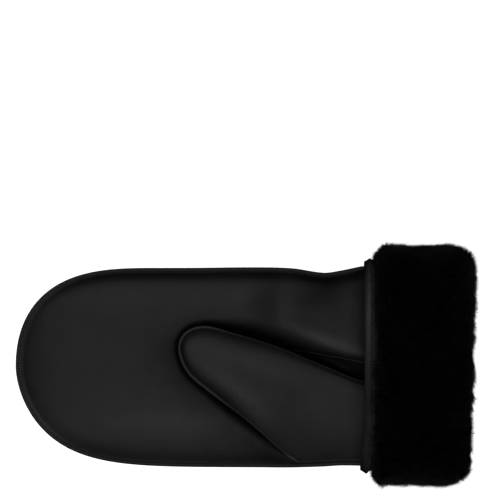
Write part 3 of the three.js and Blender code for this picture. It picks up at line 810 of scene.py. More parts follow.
class Nodes:
    """A short way to build the nodes of a material."""

    SPREAD = (0.3, 0.7)  # most of a noise lies between these
    SHARE, FIRST, SECOND, MIXED = 0, 6, 7, 2  # sockets of a mix of colours

    def __init__(self, name: str) -> None:
        """Starts a material with its surface shader."""
        self.material = bpy.data.materials.new(name)
        self.material.use_nodes = True
        self.tree = self.material.node_tree
        self.tree.nodes.clear()
        self.output = self.tree.nodes.new("ShaderNodeOutputMaterial")
        self.shader = self.add("ShaderNodeBsdfPrincipled")
        self.link(self.shader.outputs["BSDF"], self.output.inputs["Surface"])

    def add(self, kind: str, **settings: object) -> bpy.types.Node:
        """Adds a node.

        Args:
            kind: Its type.
            settings: Its properties, and by socket name with underscores its inputs.

        Returns:
            The node.
        """
        node = self.tree.nodes.new(kind)
        for key, value in settings.items():
            if hasattr(node, key):
                setattr(node, key, value)
            else:
                node.inputs[key.replace("_", " ")].default_value = value
        return node

    def link(self, source: bpy.types.NodeSocket, target: bpy.types.NodeSocket) -> None:
        """Joins two sockets."""
        self.tree.links.new(source, target)

    def place(self) -> bpy.types.NodeSocket:
        """The object's own coordinates."""
        return self.add("ShaderNodeTexCoord").outputs["Object"]

    def noise(self, scale: float, detail: float, roughness: float = 0.5) -> bpy.types.NodeSocket:
        """A noise over the object, at waves per metre."""
        node = self.add("ShaderNodeTexNoise", Scale=scale, Detail=detail, Roughness=roughness)
        self.link(self.place(), node.inputs["Vector"])
        return node.outputs["Fac"]

    def ranged(
        self, source: bpy.types.NodeSocket, low: float, high: float, to_low: float, to_high: float
    ) -> bpy.types.NodeSocket:
        """Moves numbers from one range to another.

        Args:
            source: The numbers.
            low: Start of their range.
            high: End of it.
            to_low: Start of the new range.
            to_high: End of it.

        Returns:
            The moved numbers.
        """
        node = self.add("ShaderNodeMapRange")
        self.link(source, node.inputs["Value"])
        for key, value in {"From Min": low, "From Max": high, "To Min": to_low, "To Max": to_high}.items():
            node.inputs[key].default_value = value
        return node.outputs["Result"]

    def math(
        self, operation: str, first: bpy.types.NodeSocket | float, second: bpy.types.NodeSocket | float
    ) -> bpy.types.NodeSocket:
        """Reckons with two sockets or numbers.

        Args:
            operation: Name of the sum, product or the like.
            first: The first socket or number.
            second: The second.

        Returns:
            The result.
        """
        node = self.add("ShaderNodeMath", operation=operation)
        for socket, value in zip(node.inputs, (first, second)):
            if isinstance(value, bpy.types.NodeSocket):
                self.link(value, socket)
            else:
                socket.default_value = value
        return node.outputs[0]

    def mix(
        self, share: bpy.types.NodeSocket, first: Sequence[float], second: Sequence[float]
    ) -> bpy.types.NodeSocket:
        """Mixes two colours.

        Args:
            share: How much of the second to take.
            first: The first colour.
            second: The second.

        Returns:
            The colour between them.
        """
        node = self.add("ShaderNodeMix", data_type="RGBA")
        self.link(share, node.inputs[self.SHARE])
        node.inputs[self.FIRST].default_value = (*first, 1.0)
        node.inputs[self.SECOND].default_value = (*second, 1.0)
        return node.outputs[self.MIXED]

    def relief(self, layers: Sequence[tuple[bpy.types.NodeSocket, float]]) -> None:
        """Bumps the surface by each layer in turn.

        Args:
            layers: Height from 0 to 1, and that height in millimetres.
        """
        normal = None
        for height, depth in layers:
            node = self.add("ShaderNodeBump", Strength=1.0, Distance=depth * MM)
            self.link(height, node.inputs["Height"])
            if normal is not None:
                self.link(normal, node.inputs["Normal"])
            normal = node.outputs["Normal"]
        self.link(normal, self.shader.inputs["Normal"])


@dataclass(frozen=True)
class LeatherFinish:
    """Smooth dyed leather with a fine grain.

    Attributes:
        name: Name of the material.
        dark: Colour where the most shade is painted.
        light: Colour where rubbing and painted highlight are strongest.
        roughness: How rough it is on average.
        gloss: Strength of its reflection.
        tone: Share of the light colour where there is no rubbing and no painted shade or highlight.
        patches: How far that share varies from patch to patch.
        wear_and_painted_light: What full rubbing and painted highlight add to it.
        painted_shade_weight: What full painted shade takes from it, and what a painted highlight adds.
        grain: Width of a pebble in millimetres.
        grain_depth: Height of a pebble in millimetres.
        haze: How far the roughness varies either way.
        dulled: What full painted shade adds to the roughness.
    """

    name: str
    dark: tuple[float, float, float]
    light: tuple[float, float, float]
    roughness: float
    gloss: float
    tone: float = 0.175
    patches: float = 0.35
    wear_and_painted_light: float = 0.65
    painted_shade_weight: float = 0.55
    grain: float = 0.85
    grain_depth: float = 0.15
    haze: float = 0.05
    dulled: float = 0.2

    def material(self) -> bpy.types.Material:
        """Builds the material."""
        nodes = Nodes(self.name)
        low, high = self.tone - self.patches / 2, self.tone + self.patches / 2
        patches = nodes.ranged(nodes.noise(38.0, 3.0), *nodes.SPREAD, low, high)
        # The first attribute lightens the colour by rubbing and painted highlight; the second darkens it with
        # painted shade, lightens it with a painted highlight where negative, and roughens it.
        rubbing_and_sheen = nodes.add("ShaderNodeAttribute", attribute_name=RUB_AND_SHEEN).outputs["Fac"]
        shade_and_highlight = nodes.add("ShaderNodeAttribute", attribute_name=SHADE_AND_HIGHLIGHT).outputs["Fac"]
        share = nodes.math("ADD", patches, nodes.math("MULTIPLY", rubbing_and_sheen, self.wear_and_painted_light))
        share = nodes.math("SUBTRACT", share, nodes.math("MULTIPLY", shade_and_highlight, self.painted_shade_weight))
        nodes.link(nodes.mix(share, self.dark, self.light), nodes.shader.inputs["Base Color"])
        smooth, coarse = self.roughness - self.haze, self.roughness + self.haze
        haze = nodes.ranged(nodes.noise(120.0, 4.0), *nodes.SPREAD, smooth, coarse)
        rough = nodes.math("ADD", haze, nodes.math("MULTIPLY", shade_and_highlight, self.dulled))
        nodes.link(rough, nodes.shader.inputs["Roughness"])
        nodes.shader.inputs["Specular IOR Level"].default_value = self.gloss
        pebbles = nodes.add(
            "ShaderNodeTexVoronoi", feature="SMOOTH_F1", Scale=1000.0 / self.grain, Smoothness=0.6, Randomness=0.9
        )
        nodes.link(nodes.place(), pebbles.inputs["Vector"])
        domes = nodes.ranged(pebbles.outputs["Distance"], 0.0, 0.7, 1.0, 0.0)
        nodes.relief([(nodes.noise(300.0, 2.0), 0.006), (domes, self.grain_depth), (nodes.noise(2600.0, 2.0), 0.01)])
        return nodes.material


@dataclass(frozen=True)
class ThreadFinish:
    """Waxed sewing thread, laid in fine twisted strands."""

    name: str = "waxed_thread"
    dark: tuple[float, float, float] = (0.001, 0.001, 0.001)
    light: tuple[float, float, float] = (0.004, 0.004, 0.0045)
    roughness: float = 0.6

    def material(self) -> bpy.types.Material:
        """Builds the material."""
        nodes = Nodes(self.name)
        strands = nodes.noise(4200.0, 1.0)
        share = nodes.ranged(strands, 0.35, 0.65, 0.0, 1.0)
        nodes.link(nodes.mix(share, self.dark, self.light), nodes.shader.inputs["Base Color"])
        nodes.shader.inputs["Roughness"].default_value = self.roughness
        nodes.shader.inputs["Specular IOR Level"].default_value = 0.12
        nodes.relief([(strands, 0.05)])
        return nodes.material


@dataclass(frozen=True)
class FurFinish:
    """Dense short fur, darker at the roots."""

    name: str
    root: tuple[float, float, float]
    tip: tuple[float, float, float]
    roughness: float
    gloss: float

    def material(self) -> bpy.types.Material:
        """Builds the material."""
        nodes = Nodes(self.name)
        # Each strand's lightness from its attribute, with a painted rim light near the cuff's outline.
        along = nodes.add("ShaderNodeAttribute", attribute_name=RUB_AND_SHEEN).outputs["Fac"]
        patches = nodes.ranged(nodes.noise(45.0, 3.0), *nodes.SPREAD, 0.55, 1.0)
        share = nodes.math("MULTIPLY", along, patches)
        nodes.link(nodes.mix(share, self.root, self.tip), nodes.shader.inputs["Base Color"])
        nodes.shader.inputs["Roughness"].default_value = self.roughness
        nodes.shader.inputs["Specular IOR Level"].default_value = self.gloss
        nodes.relief([(nodes.noise(900.0, 3.0), 0.4)])
        return nodes.material


@dataclass(frozen=True)
class FloorFinish:
    """A plain pale table, lit from below as a light table is."""

    name: str = "pale_table"
    colour: tuple[float, float, float] = (0.86, 0.86, 0.86)
    glow: float = 1.0

    def material(self) -> bpy.types.Material:
        """Builds the material."""
        nodes = Nodes(self.name)
        nodes.shader.inputs["Base Color"].default_value = (*self.colour, 1.0)
        nodes.shader.inputs["Roughness"].default_value = 0.9
        nodes.shader.inputs["Specular IOR Level"].default_value = 0.1
        nodes.shader.inputs["Emission Color"].default_value = (1.0, 1.0, 1.0, 1.0)
        nodes.shader.inputs["Emission Strength"].default_value = self.glow
        return nodes.material


# Making of meshes

JOIN = 2e-6  # points of a grid within this many metres are one


@dataclass
class Sheet:
    """Points in millimetres, how much rubbing and painted highlight lighten the surface at each, from 0 to 1, and
    how much shade is painted on it, negative for a painted highlight.
    """

    points: np.ndarray
    rub_and_sheen: np.ndarray
    shade_and_highlight: np.ndarray | float = 0.0


def grid(
    columns: int, rows: int, place: Callable[[np.ndarray, np.ndarray], Sheet], origin: Vector
) -> bmesh.types.BMesh:
    """A surface from a grid whose points are placed by a function.

    Args:
        columns: Pieces along the first coordinate.
        rows: Pieces along the second.
        place: Gives the points for the two coordinates, each from 0 to 1.
        origin: Where the form's zero lies, in metres.

    Returns:
        The surface, with the points that coincide joined.
    """
    mesh = bmesh.new()
    bmesh.ops.create_grid(mesh, x_segments=columns, y_segments=rows, size=0.5)
    flat = np.array([vert.co[:2] for vert in mesh.verts]) + 0.5
    sheet = place(flat[:, 0], flat[:, 1])
    points = (sheet.points * MM + np.array(origin)).tolist()
    for vert, point in zip(mesh.verts, points):
        vert.co = point
    for name, values, least in ((RUB_AND_SHEEN, sheet.rub_and_sheen, 0.0), (SHADE_AND_HIGHLIGHT, sheet.shade_and_highlight, -1.0)):
        layer = mesh.verts.layers.float.new(name)
        amounts = np.clip(np.broadcast_to(values, len(points)), least, 1.0).tolist()
        for vert, amount in zip(mesh.verts, amounts):
            vert[layer] = amount
    bmesh.ops.remove_doubles(mesh, verts=mesh.verts, dist=JOIN)
    return mesh


def close_ends(mesh: bmesh.types.BMesh) -> None:
    """Fills the open ends of a tube and turns its faces outwards."""
    open_edges = [edge for edge in mesh.edges if edge.is_boundary]
    if open_edges:
        bmesh.ops.holes_fill(mesh, edges=open_edges, sides=0)
    bmesh.ops.recalc_face_normals(mesh, faces=mesh.faces)


def as_object(
    name: str, mesh: bmesh.types.BMesh | bpy.types.Mesh, material: bpy.types.Material
) -> bpy.types.Object:
    """Makes a smooth object at the origin.

    Args:
        name: Name of the piece.
        mesh: Its mesh, which is used up if it is a bmesh.
        material: Its finish.

    Returns:
        The object, in the scene.
    """
    if isinstance(mesh, bmesh.types.BMesh):
        data = bpy.data.meshes.new(name)
        mesh.to_mesh(data)
        mesh.free()
    else:
        data = mesh
    data.materials.clear()
    data.materials.append(material)
    data.shade_smooth()
    piece = bpy.data.objects.new(name, data)
    bpy.context.scene.collection.objects.link(piece)
    return piece


def settle(piece: bpy.types.Object) -> bpy.types.Object:
    """Applies a piece's modifiers to its mesh."""
    graph = bpy.context.evaluated_depsgraph_get()
    graph.update()
    data = bpy.data.meshes.new_from_object(piece.evaluated_get(graph))
    piece.modifiers.clear()
    piece.data = data
    return piece


def thicken(mesh: bmesh.types.BMesh, rise: float) -> None:
    """Gives a sheet a second skin straight above or below it, and joins their rims.

    Args:
        mesh: The sheet.
        rise: How far above it the skin lies, negative for below.
    """
    skin = bmesh.ops.extrude_face_region(mesh, geom=list(mesh.faces), use_keep_orig=True)
    moved = [item for item in skin["geom"] if isinstance(item, bmesh.types.BMVert)]
    bmesh.ops.translate(mesh, verts=moved, vec=(0.0, 0.0, rise * MM))
    bmesh.ops.recalc_face_normals(mesh, faces=mesh.faces)


def cut(piece: bpy.types.Object, outline: np.ndarray, origin: Vector) -> None:
    """Cuts an upright hole through a piece.

    Args:
        piece: The piece.
        outline: Plan of the hole in millimetres.
        origin: Where the form's zero lies, in metres.
    """
    prism = bmesh.new()
    depth = 0.1
    corners = [prism.verts.new((x * MM + origin.x, y * MM + origin.y, -depth)) for x, y in outline]
    base = prism.faces.new(corners)
    side = bmesh.ops.extrude_face_region(prism, geom=[base])
    moved = [item for item in side["geom"] if isinstance(item, bmesh.types.BMVert)]
    bmesh.ops.translate(prism, verts=moved, vec=(0.0, 0.0, 3 * depth))
    bmesh.ops.recalc_face_normals(prism, faces=prism.faces)
    cutter = as_object(piece.name + "_cutter", prism, piece.data.materials[0])
    hole = piece.modifiers.new("hole", "BOOLEAN")
    hole.object = cutter
    hole.operation = "DIFFERENCE"
    hole.solver = "EXACT"
    settle(piece)
    bpy.data.objects.remove(cutter)


def repeated(name: str, unit_shape: bmesh.types.BMesh, placed: np.ndarray, rub_and_sheen: np.ndarray) -> bpy.types.Mesh:
    """Many copies of one small shape as one mesh.

    Args:
        name: Name of the mesh.
        unit_shape: The shape, which is used up.
        placed: Points of every copy in metres, copy by copy.
        rub_and_sheen: The share that goes to the finish, point by point.

    Returns:
        The mesh.
    """
    unit_shape.faces.ensure_lookup_table()
    corners = len(unit_shape.verts)
    faces = [[vert.index for vert in face.verts] for face in unit_shape.faces]
    unit_shape.free()
    loops = np.array([index for face in faces for index in face])
    sizes = np.array([len(face) for face in faces])
    copies = len(placed)
    data = bpy.data.meshes.new(name)
    data.vertices.add(copies * corners)
    data.vertices.foreach_set("co", placed.reshape(-1).astype(np.float32))
    data.loops.add(copies * len(loops))
    every = (np.arange(copies)[:, None] * corners + loops[None, :]).reshape(-1)
    data.loops.foreach_set("vertex_index", every.astype(np.int32))
    data.polygons.add(copies * len(sizes))
    starts = np.concatenate([[0], np.cumsum(np.tile(sizes, copies))[:-1]])
    data.polygons.foreach_set("loop_start", starts.astype(np.int32))
    data.update(calc_edges=True)
    data.validate()
    layer = data.attributes.new(RUB_AND_SHEEN, "FLOAT", "POINT")
    layer.data.foreach_set("value", rub_and_sheen.reshape(-1).astype(np.float32))
    return data


def finish_piece(piece: bpy.types.Object, nodes: Sequence[str] = ()) -> None:
    """Lets a piece ride on the mitten.

    Args:
        piece: The piece.
        nodes: The solids that it stands for.
    """
    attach(piece, BODY)
    if nodes:
        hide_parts(*nodes)
    piece.data.calc_loop_triangles()
    log.info("%s: %d triangles", piece.name, len(piece.data.loop_triangles))


@dataclass(frozen=True)
class Stitching:
    """A row of stitches, each a small grain of thread along the row.

    Attributes:
        pitch: From one stitch to the next.
        length: Length of a stitch.
        thick: Thickness of the thread.
        slant: How far each stitch turns from the row, in degrees.
        probe: How far along the row its direction is read.
    """

    pitch: float = 1.6
    length: float = 1.4
    thick: float = 0.72
    slant: float = 58.0
    probe: float = 0.4

    def unit_shape(self) -> bmesh.types.BMesh:
        """One stitch of length and thickness 1, along X."""
        mesh = bmesh.new()
        bmesh.ops.create_uvsphere(mesh, u_segments=6, v_segments=5, radius=0.5)
        bmesh.ops.rotate(mesh, verts=mesh.verts, matrix=Matrix.Rotation(math.pi / 2, 3, "Y"))
        return mesh

    def along(self, line: np.ndarray, up: np.ndarray, closed: bool = False) -> np.ndarray:
        """The stitches' points along a line.

        Args:
            line: Points of the row, in millimetres.
            up: Which way is out of the leather, at each point.
            closed: Whether the row meets its own start.

        Returns:
            Points of every stitch, stitch by stitch.
        """
        length = running_length(line)
        count = max(2, round(length[-1] / self.pitch))
        s = (np.arange(count) + (0.0 if closed else 0.5)) * length[-1] / count
        centre = read_at(s, length, line)
        after = read_at(np.minimum(s + self.probe, length[-1]), length, line)
        before = read_at(np.maximum(s - self.probe, 0.0), length, line)
        ahead = unit(after - before)
        out = unit(read_at(s, length, up))
        across = unit(np.cross(out, ahead))
        angle = math.radians(self.slant)
        way = unit(ahead * math.cos(angle) + across * math.sin(angle))
        across = unit(np.cross(out, way))
        shape = self.unit_shape()
        local = np.array([vert.co[:] for vert in shape.verts])
        shape.free()
        local = local * np.array([self.length, self.thick, self.thick])
        return (
            centre[:, None, :]
            + local[None, :, 0:1] * way[:, None, :]
            + local[None, :, 1:2] * across[:, None, :]
            + local[None, :, 2:3] * out[:, None, :]
        )

    def piece(
        self, name: str, rows: Sequence[np.ndarray], finish: bpy.types.Material, origin: Vector
    ) -> bpy.types.Object:
        """Makes one object of several rows.

        Args:
            name: Name of the object.
            rows: Points of the stitches of each row.
            finish: The thread's material.
            origin: Where the form's zero lies, in metres.

        Returns:
            The object.
        """
        placed = np.concatenate(rows) * MM + np.array(origin)
        data = repeated(name, self.unit_shape(), placed, np.zeros(placed.shape[:2]))
        return as_object(name, data, finish)


# The sub-assemblies


@dataclass
class Palette:
    """The finishes, built once."""

    leather: bpy.types.Material
    trim: bpy.types.Material
    band: bpy.types.Material
    thread: bpy.types.Material
    hide: bpy.types.Material
    fur: bpy.types.Material

    @classmethod
    def build(cls) -> "Palette":
        """Builds every finish of the mitten."""
        return cls(
            leather=LeatherFinish(
                "black_leather", (0.0005, 0.0005, 0.0005), (0.043, 0.0415, 0.0445),
                roughness=0.43, gloss=0.21, tone=0.36, patches=0.1, wear_and_painted_light=0.3,
            ).material(),
            trim=LeatherFinish(
                "welt_leather", (0.002, 0.0019, 0.002), (0.034, 0.0325, 0.035), roughness=0.48, gloss=0.22, grain=0.6
            ).material(),
            band=LeatherFinish(
                "rolled_leather", (0.0015, 0.0014, 0.0015), (0.06, 0.056, 0.061),
                roughness=0.42, gloss=0.2, tone=0.22, patches=0.12, wear_and_painted_light=0.35, grain=0.9,
            ).material(),
            thread=ThreadFinish().material(),
            hide=FurFinish("fur_pile", (0.0001, 0.0001, 0.0001), (0.0003, 0.0003, 0.0003), 0.9, 0.02).material(),
            fur=FurFinish("fur_strands", (0.0001, 0.0001, 0.0001), (0.046, 0.043, 0.052), 0.6, 0.04).material(),
        )


@dataclass
class HandLeather:
    """The hand's panels, the strip down its back, the edge welt and the seams' stitches.

    Attributes:
        form: Shape of the hand.
        palette: The finishes.
        origin: Where the form's zero lies, in metres.
        row: The stitches of its seams.
        fan_reach: Length at the tip over which the palm's lines fan out.
        straight_columns: Columns of the palm's grid before that, on each side.
        fan_columns: Half the columns of the fan.
        palm_rows: Rows of the palm's grid.
        rim_rows: Step of the rows at the rim, as a share of an even one.
        pleat_columns: Pieces along the pleat's welt.
        pleat_radius: Radius of that welt.
        bead: Height of the bead along the seam.
        bead_at: Distance of the bead from the edge, and its spread.
    """

    form: HandForm
    palette: Palette
    origin: Vector
    row: Stitching = Stitching()
    fan_reach: float = 62.0
    straight_columns: int = 130
    fan_columns: int = 64
    palm_rows: int = 72
    rim_rows: float = 0.36
    pleat_columns: int = 90
    pleat_radius: float = 0.45
    bead: float = 0.16
    bead_at: tuple[float, float] = (0.55, 0.4)

    def palm(self) -> None:
        """The palm with its thumb hole."""
        form = self.form
        fan_x = form.tip_x + self.fan_reach
        straight = np.linspace(form.end_x, fan_x, self.straight_columns + 1)
        rim = form.edge_line(form.welt_shows, fan_x, 0.25)
        length = running_length(rim)
        fan = read_at(np.linspace(0.0, length[-1], 2 * self.fan_columns + 1), length, rim)
        sides = []
        for side in Side:
            y = form.shift + side.value * form.half_width(straight, side, form.welt_shows)
            sides.append(np.stack([straight, y], axis=-1))
        line = np.vstack([sides[0][:-1], fan, sides[1][::-1][1:]])
        spine = np.stack([np.maximum(line[:, 0], fan_x), np.full(len(line), form.shift)], axis=-1)
        last = len(line) - 1

        def place(u: np.ndarray, v: np.ndarray) -> Sheet:
            index = np.rint(u * last).astype(int)
            share = 1.0 - (v * (self.rim_rows + (1.0 - self.rim_rows) * v))[:, None]
            share = np.where(v[:, None] > AT_END, 0.0, share)
            plan = spine[index] + (line[index] - spine[index]) * share
            near = np.linalg.norm(line[index] - plan, axis=1)
            bead = self.bead * (bump_at(near, *self.bead_at) - np.exp(-near / 0.2))
            z = form.top(plan[:, 0], plan[:, 1]) + bead
            # Painted shade and painted highlight for the palm's colour; the bead by the seam is lighter, partly from
            # rubbing and partly as a painted highlight.
            shade_and_highlight = form.palm_shade_and_highlight(plan[:, 0], plan[:, 1], near)
            return Sheet(np.column_stack([plan, z]), 0.8 * bump_at(near, *self.bead_at), shade_and_highlight)

        mesh = grid(last, self.palm_rows, place, self.origin)
        thicken(mesh, -form.leather)
        piece = as_object("palm_leather", mesh, self.palette.leather)
        cut(piece, form.hole_outline.points, self.origin)
        finish_piece(piece, ["palm_panel"])

    def back(self, side: Side, name: str, node: str) -> None:
        """One half of the back, from the rim to the middle strip.

        Args:
            side: The side of the hand that it covers.
            name: Name of the piece.
            node: The solid that it stands for.
        """
        form = self.form
        edge = form.strip_width / 2 - 0.15
        turn = np.linspace(0.0, math.pi / 2, 400)
        x_all = form.end_x - (form.end_x - form.tip_x - form.welt_shows) * np.sin(turn)
        wide = form.half_width(x_all, side, form.welt_shows) > edge + 0.3
        stop = x_all[wide].min()
        columns, rows = 150, 26

        def place(u: np.ndarray, v: np.ndarray) -> Sheet:
            x = form.end_x + (stop - form.end_x) * np.sin(u * math.pi / 2)
            half = form.half_width(x, side, form.welt_shows)
            inner = np.arccos(np.clip(edge / np.maximum(half, 1e-6), 0.0, 1.0) ** (form.power / 2)) / math.pi
            across = squared(np.cos(v * inner * math.pi), form.power) * half
            y = form.shift + side.value * across
            z = form.bottom(x, y) + self.seam_dip(across, edge)
            return Sheet(np.column_stack([x, y, z]), bump_at(across, edge, 0.7))

        mesh = grid(columns, rows, place, self.origin)
        thicken(mesh, form.leather)
        piece = as_object(name, mesh, self.palette.leather)
        finish_piece(piece, [node])

    def seam_dip(self, across: np.ndarray, edge: float) -> np.ndarray:
        """How far the back draws in towards the seam beside the strip."""
        return 0.75 * np.exp(-np.maximum(0.0, across - edge) / 1.3)

    def strip(self) -> None:
        """The strip down the middle of the back, a little crowned between its seams."""
        form = self.form
        half = form.strip_width / 2
        stop = form.edge_line(form.welt_shows, form.end_x, 0.25)[:, 0].min() + 0.4

        def place(u: np.ndarray, v: np.ndarray) -> Sheet:
            x = form.end_x + (stop - form.end_x) * np.sin(u * math.pi / 2)
            across = (2.0 * v - 1.0) * half
            z = form.bottom(x, np.full_like(x, form.shift)) + 0.75 * (across / half) ** 4 + 0.1
            return Sheet(np.column_stack([x, form.shift + across, z]), 0.25 + 0.5 * (across / half) ** 2)

        mesh = grid(160, 10, place, self.origin)
        thicken(mesh, form.leather - 0.2)
        piece = as_object("back_strip_leather", mesh, self.palette.trim)
        finish_piece(piece, ["back_seam_strip"])

    def welt(self) -> None:
        """The welt in the edge seam: a folded strip with a stitched groove on both faces."""
        form = self.form
        inset = form.welt_width / 2
        line = form.edge_line(inset, form.end_x, 0.32)
        passed = running_length(line)
        way = unit(np.gradient(line, axis=0))
        out = np.column_stack([way[:, 1], -way[:, 0]])
        out *= np.sign(np.sum(out[0] * np.array([0.0, 1.0])))
        seam = form.seam(line[:, 0])
        last = len(line) - 1

        def place(u: np.ndarray, v: np.ndarray) -> Sheet:
            index = np.rint(u * last).astype(int)
            angle = 2.0 * math.pi * v
            level = inset * squared(np.cos(angle), 3.0)
            upright = form.welt_height / 2 * squared(np.sin(angle), 3.0)
            groove = 0.6 * smoothstep(-level, -0.35, 0.35)
            pull = np.sin(2.0 * math.pi * passed[index] / self.row.pitch)
            upright = upright * (1.0 - groove) * (1.0 + 0.16 * pull)
            plan = line[index] + out[index] * (level + 0.14 * pull * bump_at(level, 0.6, 0.6))[:, None]
            # The welt's outer roll is lighter, partly from rubbing and partly as a painted highlight.
            rub_and_sheen = bump_at(level, 0.5, 0.35) * (0.7 + 0.3 * pull)
            return Sheet(np.column_stack([plan, seam[index] + upright]), rub_and_sheen)

        mesh = grid(last, 22, place, self.origin)
        close_ends(mesh)
        piece = as_object("edge_welt_leather", mesh, self.palette.trim)
        finish_piece(piece, ["edge_welt"])

    def stitches(self) -> None:
        """The rows in the edge seam, above and below, and the two rows down the back."""
        form, row = self.form, self.row
        line = form.edge_line(form.welt_shows + self.bead_at[0], form.hand_x + 1.4, 0.5)
        level = form.seam_gap / 2 + self.bead
        placed = []
        for sign in (1, -1):
            height = form.seam(line[:, 0]) + sign * level
            up = np.tile([0.0, 0.0, float(sign)], (len(line), 1))
            placed.append(row.along(np.column_stack([line, height]), up))
        edge = form.strip_width / 2 + form.gap / 2
        stop = form.tip_x + form.welt_shows + 1.0
        x = np.linspace(form.hand_x - 1.0, stop, 500)
        for sign in (1, -1):
            y = np.full_like(x, form.shift + sign * edge)
            z = form.bottom(x, y) + 0.55
            placed.append(row.along(np.column_stack([x, y, z]), np.tile([0.0, 0.0, -1.0], (len(x), 1))))
        piece = row.piece("hand_stitches", placed, self.palette.thread, self.origin)
        finish_piece(piece)

    def pleat(self) -> None:
        """The piped and stitched line down which the palm folds in towards the thumb."""
        form = self.form
        line = PlanCurve(form.place(form.dip_points[1:6])).at(np.linspace(0.0, 1.0, self.pleat_columns + 1))
        line[:, 0] += 1.6 * np.linspace(1.0, 0.0, len(line))
        z = form.top(line[:, 0], line[:, 1]) + 0.15
        way = unit(np.gradient(line, axis=0))
        out = np.column_stack([-way[:, 1], way[:, 0]])
        out *= np.sign(out[:1, 1:])
        last = len(line) - 1

        def place(u: np.ndarray, v: np.ndarray) -> Sheet:
            index = np.rint(u * last).astype(int)
            angle = 2.0 * math.pi * v
            size = self.pleat_radius * np.minimum(1.0, 0.35 + (1.0 - u) * 4.0)
            plan = line[index] - out[index] * (size * np.cos(angle))[:, None]
            return Sheet(np.column_stack([plan, z[index] + size * np.sin(angle)]), np.full(len(u), 0.25))

        mesh = grid(last, 10, place, self.origin)
        close_ends(mesh)
        finish_piece(as_object("pleat_welt_leather", mesh, self.palette.trim))
        beside = line + out * 0.95
        height = form.top(beside[:, 0], beside[:, 1]) + 0.12
        placed = self.row.along(np.column_stack([beside, height]), np.tile([0.0, -0.5, 1.0], (len(line), 1)))
        finish_piece(self.row.piece("pleat_stitches", [placed], self.palette.thread, self.origin))

    def build(self) -> None:
        """Makes every piece of the hand."""
        self.palm()
        self.back(Side.LITTLE, "back_leather_little_finger", "back_panel_little_finger")
        self.back(Side.THUMB, "back_leather_thumb", "back_panel_thumb")
        self.strip()
        self.welt()
        self.stitches()
        self.pleat()


